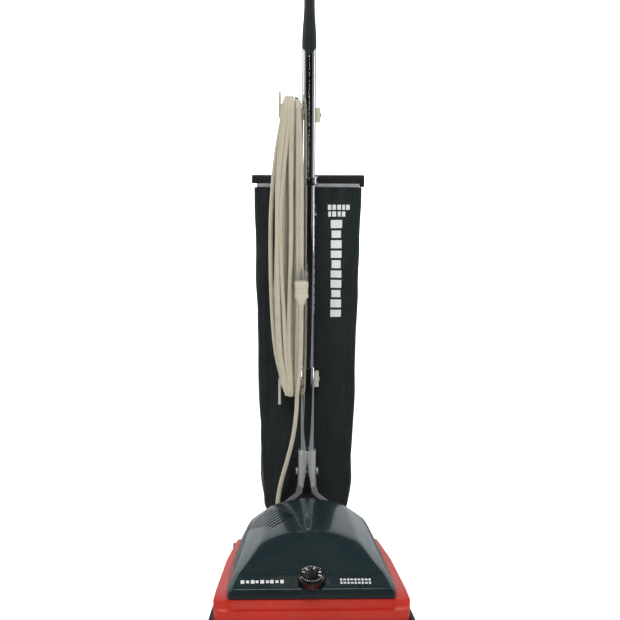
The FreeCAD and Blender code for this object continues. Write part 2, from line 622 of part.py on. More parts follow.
def wheels():
    for side, sign in SIDES.items():
        start, end = mirrored(sign, "rear_wheel_in", "rear_wheel_out")
        tyre = tube(f"rear_wheel_{side}", "x", "rear_wheel_radius", "rear_axle_radius + running_gap", start, end,
                    y="rear_wheel_y", z="rear_wheel_radius")
        node(tyre, f"rear_wheel_{side}")
        start, end = mirrored(sign, "front_wheel_in", "front_wheel_out")
        roller = tube(f"front_wheel_{side}", "x", "front_wheel_radius", "axle_radius + running_gap", start, end,
                      y="front_wheel_y", z="front_wheel_radius")
        node(roller, f"front_wheel_{side}")
    axle = rod("rear_axle_bar", "x", "rear_axle_radius", "-(rear_wheel_out + 3)", "rear_wheel_out + 3",
               y="rear_wheel_y", z="rear_wheel_radius")
    heads = [rod(f"rear_axle_head_{side}", "x", "8", *mirrored(sign, "rear_wheel_out + 0.5", "rear_wheel_out + 4"),
                 y="rear_wheel_y", z="rear_wheel_radius") for side, sign in SIDES.items()]
    node(fuse("rear_axle", axle, *heads), "rear_axle")
    bar = block("carriage_bar", ("-46", "46"), ("carriage_y - 5", "carriage_y + 5"),
                ("carriage_z - 5", "carriage_z + 5"))
    arms = [block(f"carriage_arm_{side}", mirrored(sign, "38", "46"), ("front_wheel_y - 6", "carriage_y"),
                  ("front_wheel_radius - 5", "front_wheel_radius + 7")) for side, sign in SIDES.items()]
    pins = [rod(f"carriage_pin_{side}", "x", "axle_radius", *mirrored(sign, "45", "77"),
                y="carriage_y", z="carriage_z") for side, sign in SIDES.items()]
    bore = rod("carriage_axle_bore", "x", "axle_radius", "-60", "60", y="front_wheel_y", z="front_wheel_radius")
    node(cut("front_carriage", fuse("carriage_frame", bar, *arms, *pins), bore), "front_carriage")
    node(rod("front_axle", "x", "axle_radius", "-67", "67", y="front_wheel_y", z="front_wheel_radius"),
         "front_axle")


# ---------------------------------------------------------------- pivot pins and release pedal


def pivots():
    pins = []
    for side, sign in SIDES.items():
        shank = rod(f"pivot_shank_{side}", "x", "6", *mirrored(sign, "lug_in - 2", "strap_out + 0.4"),
                    y="pivot_y", z="pivot_z")
        head = rod(f"pivot_head_{side}", "x", "9.5", *mirrored(sign, "strap_out + 0.4", "strap_out + 3"),
                   y="pivot_y", z="pivot_z")
        pins.append(fuse(f"pivot_pin_{side}", shank, head))
    node(doc.addObject("Part::Compound", "pivot_pins"), "pivot_pins").Links = pins
    node(rod("pedal_pin", "x", "3", "-136", "-108", y="pedal_y", z="pedal_z"), "pedal_pin")
    coils = []
    for k in range(5):
        coil = doc.addObject("Part::Torus", f"pedal_coil_{k}")
        coil.Radius1, coil.Radius2 = 5.2, 0.75
        place(coil, f"-115.6 - 1.1 * {k}", "pedal_y", "pedal_z", ((0, 1, 0), 90))
        coils.append(coil)
    node(fuse("pedal_spring", *coils), "pedal_spring")


def release_pedal():
    hub = rod("pedal_hub", "x", "8", "-pedal_out", "-pedal_in", y="pedal_y", z="pedal_z")
    arm = block("pedal_arm", ("-pedal_out", "-pedal_in"), ("pedal_y", "pedal_back - 6"), ("pedal_z - 7", "pedal_z"))
    tread = block("pedal_tread", ("-pedal_out - 12", "-pedal_in + 12"), ("pedal_back - 30", "pedal_back"),
                  ("pedal_z - 4", "pedal_z + 1"))
    bore = rod("pedal_bore", "x", "3 + running_gap", "-140", "-110", y="pedal_y", z="pedal_z")
    node(cut("release_pedal", fuse("pedal_solid", hub, arm, tread), bore), "release_pedal")


# ---------------------------------------------------------------- handle


def bail():
    """Two stamped halves that clamp the tube and spread out to the pivot pins."""
    for side, sign in SIDES.items():
        body = new_body(f"bail_strap_{side}")
        NODES.remove(body)
        strap = [("strap_in", "pivot_z"), ("strap_out", "pivot_z"), ("strap_out", "102"), ("22", "152"),
                 ("18.2", "166"), ("shell_radius", "190"), ("6", "190"), ("9", "154"), ("17", "146"),
                 ("strap_in", "97")]
        if sign < 0:
            strap = [(f"-({x})", z) for x, z in strap]
        pad(body, f"strap_plate_{side}", "XZ", strap, "strap_gauge", both_ways=True)
        place(body, 0, "pivot_y", 0)
        boss = rod(f"strap_boss_{side}", "x", "boss_radius", *mirrored(sign, "strap_in", "strap_out"),
                   y="pivot_y", z="pivot_z")
        sleeve = rod(f"shell_outer_{side}", "z", "shell_radius", "shell_low", "shell_top", y="pivot_y")
        half = block(f"shell_half_{side}", mirrored(sign, "0.3", "40"), ("pivot_y - 40", "pivot_y + 40"),
                     ("shell_low - 5", "shell_top + 5"))
        shell = doc.addObject("Part::Common", f"half_shell_{side}")
        shell.Base, shell.Tool = sleeve, half
        notch = new_body(f"shell_notch_{side}")
        NODES.remove(notch)
        pad(notch, f"notch_wedge_{side}", "XZ", [("-notch_half", "150"), ("notch_half", "150"), ("0", "shell_top - 14")],
            "80", both_ways=True)
        place(notch, 0, "pivot_y", 0)
        tube_way = rod(f"tube_way_{side}", "z", "lower_radius + running_gap", "shell_low - 5", "shell_top + 5",
                       y="pivot_y")
        pin_way = rod(f"pin_way_{side}", "x", "6 + running_gap", *mirrored(sign, "50", "100"),
                      y="pivot_y", z="pivot_z")
        bolt_way = rod(f"bolt_way_{side}", "x", "bolt_radius", *mirrored(sign, "0", "40"),
                       y="pivot_y", z="bolt_z")
        solid = fuse(f"bail_solid_{side}", body, boss, cut(f"notched_shell_{side}", shell, notch))
        node(cut(f"bail_{side}", solid, tube_way, pin_way, bolt_way), f"bail_{side}")
    bolt = rod("bolt_shank", "x", "bolt_radius", "-20", "20", y="pivot_y", z="bolt_z")
    heads = [rod(f"bolt_head_{side}", "x", "7", *mirrored(sign, "shell_radius + 0.4", "shell_radius + 4.4"),
                 y="pivot_y", z="bolt_z") for side, sign in SIDES.items()]
    node(fuse("bail_bolt", bolt, *heads), "bail_bolt")


def handle_tubes():
    lower = tube("lower_pipe", "z", "lower_radius", "upper_radius + running_gap", "lower_low - 12", "lower_top",
                 y="pivot_y")
    bolt_way = rod("lower_bolt_way", "x", "bolt_radius", "-30", "30", y="pivot_y", z="bolt_z")
    node(cut("lower_tube", lower, bolt_way), "lower_tube")
    upper = tube("upper_tube", "z", "upper_radius", "upper_radius - tube_wall", "upper_low", "upper_top",
                 y="pivot_y")
    node(upper, "upper_tube")
    node(rod("tube_rivet", "x", "2.4", "upper_radius + 0.1", "upper_radius + 1.8", y="pivot_y", z="685"),
         "tube_rivet")


def handle_grip():
    """A dark moulding that narrows above the tube and bends back towards the operator."""
    body = new_body("grip_moulding")
    NODES.remove(body)
    profile = body_sketch(body, "XY", "grip_section")
    flat_x, flat_y = size("grip_half_width"), size("grip_half_depth")
    profile.addGeometry(Part.Ellipse(V(0, flat_y, 0), V(flat_x, 0, 0), V(0, 0, 0)), False)
    spine = body_sketch(body, "YZ", "grip_spine")
    straight, bend, turn = size("grip_straight"), size("grip_bend"), math.radians(size("grip_turn"))
    knee = V(0, straight, 0)
    middle = V(bend * (1 - math.cos(turn / 2)), straight + bend * math.sin(turn / 2), 0)
    wrist = V(bend * (1 - math.cos(turn)), straight + bend * math.sin(turn), 0)
    end = wrist + V(math.sin(turn), math.cos(turn), 0) * size("grip_end")
    spine.addGeometry(Part.LineSegment(V(0, 0, 0), knee), False)
    spine.addGeometry(Part.Arc(knee, middle, wrist), False)
    spine.addGeometry(Part.LineSegment(wrist, end), False)
    doc.recompute()
    sweep = body.newObject("PartDesign::AdditivePipe", "grip_sweep")
    sweep.Profile = profile
    sweep.Spine = (spine, ["Edge1", "Edge2", "Edge3"])
    doc.recompute()
    place(body, 0, "pivot_y", "upper_top + 0.1")
    collar = rod("grip_collar", "z", "upper_radius + 0.4", "upper_top + 0.1", "upper_top + 22", y="pivot_y")
    spigot = rod("grip_spigot", "z", "upper_radius - tube_wall - running_gap", "upper_top - 30",
                 "upper_top + 5", y="pivot_y")
    seat = block("switch_seat", ("-8.4", "8.4"), ("pivot_y + 6", "pivot_y + 30"),
                 ("switch_z - 19", "switch_z + 19"))
    node(cut("handle_grip", fuse("grip_solid", body, collar, spigot), seat), "handle_grip")
    frame = block("bezel_block", ("-8.2", "8.2"), ("pivot_y + 6.2", "pivot_y + 16"),
                  ("switch_z - 18.8", "switch_z + 18.8"))
    hole = block("bezel_hole", ("-6.4", "6.4"), ("pivot_y + 8.2", "pivot_y + 30"),
                 ("switch_z - 13", "switch_z + 13"))
    node(cut("switch_bezel", frame, hole), "switch_bezel")
    node(block("switch_rocker", ("-6", "6"), ("pivot_y + 11.5", "pivot_y + 18.5"),
               ("switch_z - 12", "switch_z + 12")), "switch_rocker")


# ---------------------------------------------------------------- cord hooks


def hook(label, low, high, tip, arm_start, arm_end, tube_radius):
    """A plastic clip round the back of the tube, an arm to the left and an upright tip plate."""
    ring = tube(f"{label}_ring", "z", "hook_ring", f"{tube_radius} + running_gap", low, high, y="pivot_y")
    lug = block(f"{label}_lug", ("hook_ring - 1.5", "hook_ring + 4"), ("pivot_y - 7", "pivot_y + 7"), (low, high))
    arm = new_body(f"{label}_arm")
    NODES.remove(arm)
    points = [("-hook_ring + 1", arm_start[0]), ("-hook_ring + 1", arm_start[1]), ("-tip_in", arm_end[1]),
              ("-tip_in", arm_end[0])]
    pad(arm, f"{label}_arm_pad", "XZ", points, "hook_back - hook_front", both_ways=True)
    place(arm, 0, "(hook_front + hook_back) / 2", 0)
    plate = block(f"{label}_tip", ("-tip_out", "-tip_in"), ("hook_front - 1", "hook_back + 1"), tip)
    screw_way = rod(f"{label}_screw_way", "x", "2.2", f"{tube_radius} + 0.2", "hook_ring + 10", y="pivot_y",
                    z=f"(({low}) + ({high})) / 2")
    opening = block(f"{label}_opening", ("-hook_ring + 1.4", "hook_ring + 6"), ("pivot_y - 20", "pivot_y - 4"),
                    (f"({low}) - 1", f"({high}) + 1"))
    node(cut(label, fuse(f"{label}_solid", ring, lug, arm, plate), screw_way, opening), label)
    screw = rod(f"{label}_shank", "x", "2.1", f"{tube_radius} + 0.4", "hook_ring + 4.2", y="pivot_y",
                z=f"(({low}) + ({high})) / 2")
    head = rod(f"{label}_screw_head", "x", "3.8", "hook_ring + 4.1", "hook_ring + 6", y="pivot_y",
               z=f"(({low}) + ({high})) / 2")
    node(fuse(f"{label}_screw", screw, head), f"{label}_screw")


def hooks():
    hook("upper_hook", "upper_hook_low", "upper_hook_top", ("upper_tip_low", "upper_tip_top"),
         ("868", "876"), ("862", "870"), "upper_radius")
    hook("lower_hook", "lower_hook_low", "lower_hook_top", ("lower_tip_low", "lower_tip_top"),
         ("368", "377"), ("368", "377"), "lower_radius")
    plate = ("hank_back + 6.6", "hank_back + 8.8")
    disc = rod("backplate_disc", "y", "14", *plate, x="-26.5", z="881")
    below = block("backplate_below", ("-60", "60"), ("hank_back - 5", "hank_back + 20"), ("800", "867"))
    tab = block("backplate_tab", ("-26", "6"), plate, ("867", "876"))
    spacer = block("backplate_spacer", ("-5", "5"), ("pivot_y + hook_ring + 0.05", plate[0]), ("867", "875"))
    node(cut("hook_backplate", fuse("backplate_solid", disc, tab, spacer), below), "hook_backplate")


# ---------------------------------------------------------------- bag


def bag_section(half, back, corner, inset):
    """An eight-sided slice of the bag between its front plane and its bulging back."""
    half, back, corner = f"({half}) - {inset}", f"({back}) - {inset}", f"({corner})"
    front = f"bag_front + {inset}"
    right = [(f"{half} - 4", front), (half, f"{front} + 4"), (half, f"{back} - {corner}"),
             (f"{half} - {corner}", back)]
    return right + [(f"-({x})", y) for x, y in reversed(right)]


BAG_LEVELS = [("107", "77", "163", "14"), ("165", "84", "205", "22"), ("330", "90.5", "237.5", "30"),
              ("510", "94", "236", "30"), ("680", "98", "205", "22"), ("731.7", "99", "151", "8")]


def bag():
    """Closed cloth bag, thin walled, hung behind the tube."""
    outer = loft("bag_outer", [(z, "z", bag_section(half, back, corner, "0")) for z, half, back, corner in
                               BAG_LEVELS])
    ends = {0: " + bag_wall", len(BAG_LEVELS) - 1: " - bag_wall"}
    inner = loft("bag_inner", [(z + ends.get(k, ""), "z", bag_section(half, back, corner, "bag_wall"))
                               for k, (z, half, back, corner) in enumerate(BAG_LEVELS)])
    node(cut("bag", outer, inner), "bag")
    neck_points = [V(0, size("port_y"), size("port_top") + 0.5), V(0, size("port_y"), size("neck_z")),
                   V(0, size("bag_front") - 0.3, size("neck_z"))]
    neck_bend = [0, size("neck_radius") + 1.5, 0]
    wire, solid = bent_tube(neck_points, neck_bend, size("neck_radius"))
    bore = swept(wire, size("neck_radius") - 2, neck_points[0], neck_points[1] - neck_points[0])
    node(made("bag_neck", solid.cut(bore)), "bag_neck")


def bag_rail():
    bar = block("top_bar_blank", ("-bar_half", "bar_half"), ("bar_front", "bar_back"), ("bar_low", "bar_top"))
    cap = block("top_bar_cap", ("slide_half + 0.6", "bar_half"), ("bar_front", "bar_back"),
                ("slide_low", "bar_low + 1"))
    node(fuse("bag_top_bar", bar, cap), "bag_top_bar")
    channel = block("slide_blank", ("-slide_half", "slide_half"), ("bar_front", "bar_back"),
                    ("slide_low", "bar_low - 0.3"))
    groove = block("slide_groove", ("-slide_half - 5", "slide_half + 5"), ("bar_front + 5", "bar_back - 5"),
                   ("slide_low - 1", "slide_low + 3.5"))
    node(cut("bag_slide", channel, groove), "bag_slide")
    ring = tube("hanger_ring", "z", "hook_ring", "upper_radius + running_gap", "bar_low", "bar_top", y="pivot_y")
    tongue = block("hanger_tongue", ("-12", "12"), ("pivot_y + 13.5", "bar_front - 0.1"), ("bar_low", "bar_top"))
    node(fuse("bag_hanger", ring, tongue), "bag_hanger")


# ---------------------------------------------------------------- power cord

LEAD_ROUTE = [(-20, 85, 358), (-21, 87, 312), (-27, 89, 266), (-38, 88, 222), (-50, 82, 182), (-56, 69, 150),
              (-57.5, 58.5, 125)]


def cord_lead():
    """The single run of cord from the strain relief up to the hank."""
    points = [V(*p) for p in LEAD_ROUTE] + [V(size("relief_x"), size("relief_y"), size("relief_top") + 1.2)]
    radii = [0] * len(points)
    for k in range(1, len(points) - 1):
        back, ahead = points[k - 1] - points[k], points[k + 1] - points[k]
        half_turn = (math.pi - back.getAngle(ahead)) / 2
        radii[k] = 0.45 * min(back.Length, ahead.Length) / math.tan(half_turn)
    wire, solid = bent_tube(points, radii, size("cord_radius"))
    print("lead bend radii", [round(r) for r in radii[1:-1]], "length", round(wire.Length),
          "volume ratio", round(solid.Volume / (math.pi * size("cord_radius") ** 2 * wire.Length), 4))
    node(made("cord_lead", solid), "cord_lead")


def cord_hank():
    """Outer shape of the wound cord: a flat ring hung over the upper hook's arm."""
    body = new_body("hank_block")
    NODES.remove(body)
    face = [("-tip_in + 1", "hank_top"), ("-15", "hank_top"), ("-9", "850"), ("-8", "700"), ("-10", "600"),
            ("-8", "470"), ("-17", "hank_low"), ("-46", "hank_low"), ("-tip_in + 1", "lower_tip_top + 4"),
            ("-66", "460"), ("-70", "640"), ("-64", "800"), ("-tip_in + 1", "upper_tip_low - 2")]
    pad(body, "hank_pad", "XZ", face, "hank_back - hank_front", both_ways=True)
    middle = "(hank_front + hank_back) / 2"
    near, far = f"hook_front - 1.5 - {middle}", f"hook_back + 1.5 - {middle}"
    hole = [(near, "366.8"), (far, "366.8"), (far, "876.5"), (near, "876.5")]
    pocket(body, "hank_hole", "YZ", hole, "200", both_ways=True)
    place(body, 0, "(hank_front + hank_back) / 2", 0)
    behind = block("hank_behind", ("-17", "20"), ("hank_front + 17", "hank_back + 5"), ("300", "920"))
    node(cut("cord_hank", body, behind), "cord_hank")


def plug():
    body = block("plug_block", ("plug_x - 12.5", "plug_x + 12.5"), ("plug_front", "plug_back"),
                 ("plug_low + 8", "plug_top"))
    collar = rod("plug_collar", "z", "8", "plug_low", "plug_low + 9", "plug_x", "(plug_front + plug_back) / 2")
    node(fuse("cord_plug", body, collar), "cord_plug")
    prongs = [block(f"prong_{k}", (f"plug_x + {x} - 0.8", f"plug_x + {x} + 0.8"), ("plug_front + 8", "plug_front + 15"),
                    ("plug_top + 0.05", "plug_top + 18")) for k, x in enumerate((-6, 6))]
    earth = rod("prong_earth", "z", "2.4", "plug_top + 0.05", "plug_top + 20", "plug_x", "plug_back - 5")
    node(doc.addObject("Part::Compound", "plug_prongs"), "plug_prongs").Links = prongs + [earth]


def strain_relief():
    profile = [("0", "-12"), ("6.5", "-12"), ("6.5", "0"), ("9", "0"), ("9", "3"), ("7", "5"), ("5.2", "26"),
               ("0", "26")]
    body = turned("cord_strain_relief", profile)
    place(body, "relief_x", "relief_y", "relief_top - 26")


# ---------------------------------------------------------------- build, check and write

nozzle_housing()
hood()
height_knob()
furniture_bumper()
bottom_plate()
brush_roll()
belt()
motor()
fan()
exhaust()
wheels()
pivots()
release_pedal()
bail()
handle_tubes()
handle_grip()
hooks()
bag()
bag_rail()
cord_lead()
cord_hank()
plug()
strain_relief()
doc.recompute()

for thing in doc.Objects:
    if "Invalid" in thing.State or "Error" in thing.State:
        raise RuntimeError(f"{thing.Label} failed: {thing.State}")
for thing in NODES:
    if thing.Shape.isNull() or not thing.Shape.isValid() or thing.Shape.Volume < 1:
        raise RuntimeError(f"{thing.Label} has no valid shape")

os.makedirs("parts", exist_ok=True)
for thing in NODES:
    thing.Shape.exportStep(f"parts/{thing.Label}.step")
print(len(NODES), "parts written")
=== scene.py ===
# %% [markdown]
# # An upright vacuum cleaner
# The mechanical parts are already modelled. This lesson dresses them: it keeps the parts whose shape is
# right, gives every one a finish, and builds the smooth hood, the cloth bag, the cord and the small details.

# %% Load the fixed parts
import bpy, bmesh
import json, math, random
from mathutils import Matrix, Vector, noise


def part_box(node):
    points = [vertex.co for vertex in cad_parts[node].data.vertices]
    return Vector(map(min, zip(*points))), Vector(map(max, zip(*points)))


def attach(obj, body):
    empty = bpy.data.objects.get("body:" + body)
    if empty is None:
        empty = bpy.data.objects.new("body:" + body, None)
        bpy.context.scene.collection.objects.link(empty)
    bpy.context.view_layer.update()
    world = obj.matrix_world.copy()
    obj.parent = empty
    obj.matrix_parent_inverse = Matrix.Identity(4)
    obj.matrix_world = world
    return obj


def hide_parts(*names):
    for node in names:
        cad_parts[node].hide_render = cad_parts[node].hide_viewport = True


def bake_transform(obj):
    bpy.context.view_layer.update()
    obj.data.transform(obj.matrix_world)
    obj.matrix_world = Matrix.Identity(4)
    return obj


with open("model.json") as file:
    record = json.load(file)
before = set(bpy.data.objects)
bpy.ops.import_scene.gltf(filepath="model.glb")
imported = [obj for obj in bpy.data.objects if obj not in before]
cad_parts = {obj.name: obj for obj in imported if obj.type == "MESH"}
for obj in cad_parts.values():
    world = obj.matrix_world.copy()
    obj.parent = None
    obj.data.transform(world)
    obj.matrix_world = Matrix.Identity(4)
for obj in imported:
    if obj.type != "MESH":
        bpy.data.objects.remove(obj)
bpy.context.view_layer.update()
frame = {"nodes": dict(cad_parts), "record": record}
MM = 0.001
nodes = frame["nodes"]

# %% [markdown]
# Everything below works on one object at a time, so the first helpers clear the selection, make an object
# active and fix its place into its mesh. A finished piece sits at the origin, so that patterns stay put on
# it.

# %% Selection and placing


def deselect():
    if bpy.context.mode != "OBJECT":
        bpy.ops.object.mode_set(mode="OBJECT")
    bpy.ops.object.select_all(action="DESELECT")


def take(obj):
    deselect()
    obj.select_set(True)
    bpy.context.view_layer.objects.active = obj
    return obj


def settle(obj, name=None):
    """Moves the object's place, turn and size into its mesh."""
    take(obj)
    bpy.ops.object.transform_apply(location=True, rotation=True, scale=True)
    if name:
        obj.name = name
    return obj


def smooth(obj, degrees=35):
    take(obj)
    bpy.ops.object.shade_smooth_by_angle(angle=math.radians(degrees))
    return obj


def modify(obj, kind, **settings):
    """Adds one modifier, sets it and applies it."""
    take(obj)
    modifier = obj.modifiers.new(kind.title(), kind)
    for field, value in settings.items():
        setattr(modifier, field, value)
    bpy.ops.object.modifier_apply(modifier=modifier.name)
    return obj


def bevelled(obj, width, segments=2, degrees=30):
    """Rounds every edge that turns by more than an angle."""
    return modify(obj, "BEVEL", width=width, segments=segments, limit_method="ANGLE",
                  angle_limit=math.radians(degrees))


def join(objs, name):
    deselect()
    for obj in objs:
        obj.select_set(True)
    bpy.context.view_layer.objects.active = objs[0]
    if len(objs) > 1:
        bpy.ops.object.join()
    objs[0].name = name
    return objs[0]


def dress(obj, finish, body, slot, *replaced):
    """Gives a piece its finish, the body that it moves with and the parts that it stands for."""
    obj.data.materials.clear()
    obj.data.materials.append(finish)
    if body:
        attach(obj, body)
    if replaced:
        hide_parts(*replaced)
    return obj


def repeated(piece, places, name):
    """Copies of one modelled piece, each with its own mesh put in its place, joined into one."""
    copies = []
    for place in places:
        copy = piece.copy()
        copy.data = piece.data.copy()
        copy.data.transform(place)
        bpy.context.scene.collection.objects.link(copy)
        copies.append(copy)
    bpy.data.objects.remove(piece)
    return join(copies, name)


def centre(node):
    low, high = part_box(node)
    return Vector([(a + b) / 2 for a, b in zip(low, high)])


# %% [markdown]
# Shader maths reads best as plain arithmetic. `Number` wraps a socket, so `0.3 + 0.1 * grain` adds the Math
# nodes by itself. `Finish` makes the material, and its `add` makes any other node.

# %% Arithmetic on shader sockets
# the colour sockets of a Mix node, which share their names with its number sockets
MIX_FIRST, MIX_SECOND, MIX_RESULT = 6, 7, 2


class Number:
    """A value that varies over a surface."""

    def __init__(self, finish, socket):
        self.finish, self.socket = finish, socket

    def maths(self, operation, *others):
        node = self.finish.add("ShaderNodeMath", {"operation": operation}, dict(enumerate(others)))
        return Number(self.finish, node.outputs[0])

    def __add__(self, other):
        return self.maths("ADD", self, other)

    __radd__ = __add__

    def __mul__(self, other):
        return self.maths("MULTIPLY", self, other)

    __rmul__ = __mul__

    def wave(self):
        return self.maths("SINE", self)

    def ease(self, low, high):
        """0 below low, 1 above high, smooth between."""
        node = self.finish.add("ShaderNodeMapRange", {"interpolation_type": "SMOOTHSTEP"},
                               {"Value": self, "From Min": low, "From Max": high})
        return Number(self.finish, node.outputs[0])


class Finish:
    """One material, built around a Principled shader."""

    def __init__(self, name, colour, rough, metal=0.0, coat=0.0, coat_rough=0.03, sheen=0.0):
        self.material = bpy.data.materials.new(name)
        self.material.use_nodes = True
        self.tree = self.material.node_tree
        self.shader = self.tree.nodes["Principled BSDF"]
        self.place = None
        for field, value in (("Base Color", (*colour, 1)), ("Roughness", rough), ("Metallic", metal),
                             ("Coat Weight", coat), ("Coat Roughness", coat_rough), ("Sheen Weight", sheen),
                             ("IOR", 1.5)):
            self.shader.inputs[field].default_value = value

    def add(self, kind, settings=None, values=None):
        """Any node: its settings first, then the values or links of its sockets."""
        node = self.tree.nodes.new(kind)
        for field, value in (settings or {}).items():
            setattr(node, field, value)
        for field, value in (values or {}).items():
            if isinstance(value, Number):
                self.tree.links.new(value.socket, node.inputs[field])
            elif isinstance(value, bpy.types.NodeSocket):
                self.tree.links.new(value, node.inputs[field])
            else:
                node.inputs[field].default_value = value
        return node

    def where(self, stretch=(1, 1, 1)):
        """Object coordinates in metres, stretched along each axis."""
        if self.place is None:
            self.place = self.add("ShaderNodeTexCoord").outputs["Object"]
        if stretch == (1, 1, 1):
            return self.place
        return self.add("ShaderNodeMapping", None, {"Vector": self.place, "Scale": stretch}).outputs[0]

    def along(self, axis):
        split = self.add("ShaderNodeSeparateXYZ", None, {0: self.where()})
        return Number(self, split.outputs["XYZ".index(axis)])

    def grain(self, scale, detail=3.0, stretch=(1, 1, 1)):
        """Soft noise from 0 to 1."""
        node = self.add("ShaderNodeTexNoise", None, {"Vector": self.where(stretch), "Scale": scale,
                                                     "Detail": detail})
        return Number(self, node.outputs["Fac"])

    def mix(self, mask, first, second):
        node = self.add("ShaderNodeMix", {"data_type": "RGBA"},
                        {"Factor": mask, MIX_FIRST: first if not isinstance(first, tuple) else (*first, 1),
                         MIX_SECOND: second if not isinstance(second, tuple) else (*second, 1)})
        return node.outputs[MIX_RESULT]

    def drive(self, field, value):
        socket = value.socket if isinstance(value, Number) else value
        self.tree.links.new(socket, self.shader.inputs[field])

    def relief(self, height, depth, strength=1.0):
        """Bumps of a depth in metres."""
        node = self.add("ShaderNodeBump", None, {"Height": height, "Distance": depth, "Strength": strength})
        self.tree.links.new(node.outputs[0], self.shader.inputs["Normal"])


# %% [markdown]
# The camera stands in front, a little left of the handle and just below the grip, tilted slightly down. An
# empty aimed by a constraint could turn it, but four small angles are easier to adjust one at a time.

# %% Camera
TUBE = centre("upper_tube")
# metres, then degrees, then the millimetres of a real camera
DISTANCE, HEIGHT = 2.263, 0.96
DOWN, AROUND, ROLL, AIM_RIGHT = 11.31, 1.7, 0.33, 0.10
LENS, SENSOR = 72.58, 36.0


def make_camera():
    data = bpy.data.cameras.new("camera")
    data.lens, data.sensor_width = LENS, SENSOR
    camera = bpy.data.objects.new("camera", data)
    bpy.context.scene.collection.objects.link(camera)
    turn = math.radians(AROUND)
    camera.location = (-DISTANCE * math.sin(turn), TUBE.y - DISTANCE * math.cos(turn), HEIGHT)
    heading = Matrix.Rotation(-turn - math.radians(AIM_RIGHT), 4, "Z")
    tilt = Matrix.Rotation(math.radians(90 - DOWN), 4, "X")
    roll = Matrix.Rotation(math.radians(ROLL), 4, "Z")
    camera.rotation_euler = (heading @ tilt @ roll).to_euler()
    bpy.context.scene.camera = camera
    return camera


camera = make_camera()
print("camera at", [round(c, 3) for c in camera.location])

# %% [markdown]
# ## Stage
# The ground is white, yet chrome and gloss must not mirror white everywhere, or they would vanish against
# it. A studio puts black flags around the object. Here some cards are seen only by reflections: dark ones
# for the flags, bright ones for the strips of light, grey ones over the floor and the backdrop. The lamps
# are hidden from reflections. The Standard view keeps white as white, where the default one would turn it
# grey.

# %% Floor, backdrop and lights


def card(name, width, height, place, facing, colour, glow=0.0, mirrored_only=False):
    """A flat stage card that faces a point; some are seen only in reflections."""
    deselect()
    bpy.ops.mesh.primitive_plane_add(size=1)
    obj = bpy.context.object
    obj.name = name
    obj.scale = (width, height, 1)
    obj.rotation_euler = (Vector(facing) - Vector(place)).to_track_quat("Z", "Y").to_euler()
    obj.location = place
    look = Finish(name, colour, 0.9)
    look.shader.inputs["Emission Color"].default_value = (*colour, 1)
    look.shader.inputs["Emission Strength"].default_value = glow
    obj.data.materials.append(look.material)
    if mirrored_only:
        obj.visible_camera = obj.visible_diffuse = obj.visible_shadow = obj.visible_transmission = False
    return obj


def area_light(name, width, height, power, place, aim):
    data = bpy.data.lights.new(name, "AREA")
    data.shape = "RECTANGLE"
    data.size, data.size_y = width, height
    data.energy = power
    light = bpy.data.objects.new(name, data)
    light.location = place
    light.rotation_euler = (Vector(aim) - Vector(place)).to_track_quat("-Z", "Y").to_euler()
    bpy.context.scene.collection.objects.link(light)
    return light


BLACK = (0.002, 0.002, 0.002)
WHITE = (1, 1, 1)
floor = card("floor", 9, 9, (0, 0, 0), (0, 0, 1), (0.92, 0.92, 0.92), glow=0.6)
floor.visible_glossy = False
card("floor_grey", 9, 9, (0, 0, 0.002), (0, 0, 1), (0.10, 0.105, 0.11), glow=1.0, mirrored_only=True)
backdrop = card("backdrop", 9, 5, (0, 2.6, 1.6), (0, 0, 1.6), WHITE, glow=1.1)
backdrop.visible_glossy = False
card("backdrop_grey", 9, 5, (0, 2.58, 1.6), (0, 0, 1.6), (0.36, 0.38, 0.39), glow=1.0, mirrored_only=True)
card("flag_front", 9.0, 3.6, (0, -3.2, 1.6), (0, 0, 1.0), BLACK, mirrored_only=True)
card("flag_low", 7.0, 4.0, (0, -2.4, 0.006), (0, -2.4, 1), BLACK, mirrored_only=True)
card("flag_high", 4.4, 2.6, (0, -0.45, 2.7), (0, -0.45, 0), BLACK, mirrored_only=True)
card("flag_high_back", 4.4, 1.3, (0, 1.5, 2.7), (0, 1.5, 0), (0.03, 0.035, 0.036), mirrored_only=True)
card("strip_front", 1.7, 0.5, (-0.4, -1.75, 2.4), (0, -0.2, 0.1), WHITE, glow=7, mirrored_only=True)
card("strip_left", 0.5, 3.0, (-3.0, 0.5, 1.5), (0, 0.1, 1.0), WHITE, glow=2.2, mirrored_only=True)
card("strip_right", 0.4, 3.0, (3.0, 0.5, 1.5), (0, 0.1, 1.0), WHITE, glow=2.2, mirrored_only=True)
card("strip_side", 0.025, 1.6, (0.10, -2.9, 1.5), (0, 0.1, 0.9), WHITE, glow=5, mirrored_only=True)
lamps = [area_light("top_box", 2.2, 1.6, 40, (0.1, -0.4, 3.0), (0, 0, 0.4)),
         area_light("left_box", 0.8, 1.6, 20, (-1.9, -1.9, 2.3), (0, 0, 0.5)),
         area_light("right_box", 0.8, 1.6, 13, (1.9, -1.7, 2.2), (0, 0, 0.5))]
for lamp in lamps:
    lamp.visible_glossy = False
bpy.context.scene.view_settings.view_transform = "Standard"

world = bpy.data.worlds.new("room")
bpy.context.scene.world = world
world.use_nodes = True
background = world.node_tree.nodes["Background"]
background.inputs["Color"].default_value = (*WHITE, 1)
background.inputs["Strength"].default_value = 0.22

# %% [markdown]
# ## Making a skin out of rings
# The hood, the bag and the grip are skins over cross-sections. A circle is extruded once for each ring and
# every ring is put in its place, which gives clean quads that subdivide well. A grid could do the same, but
# the extrusion keeps the number of each point, so one loop can place them.

# %% A skin through rings


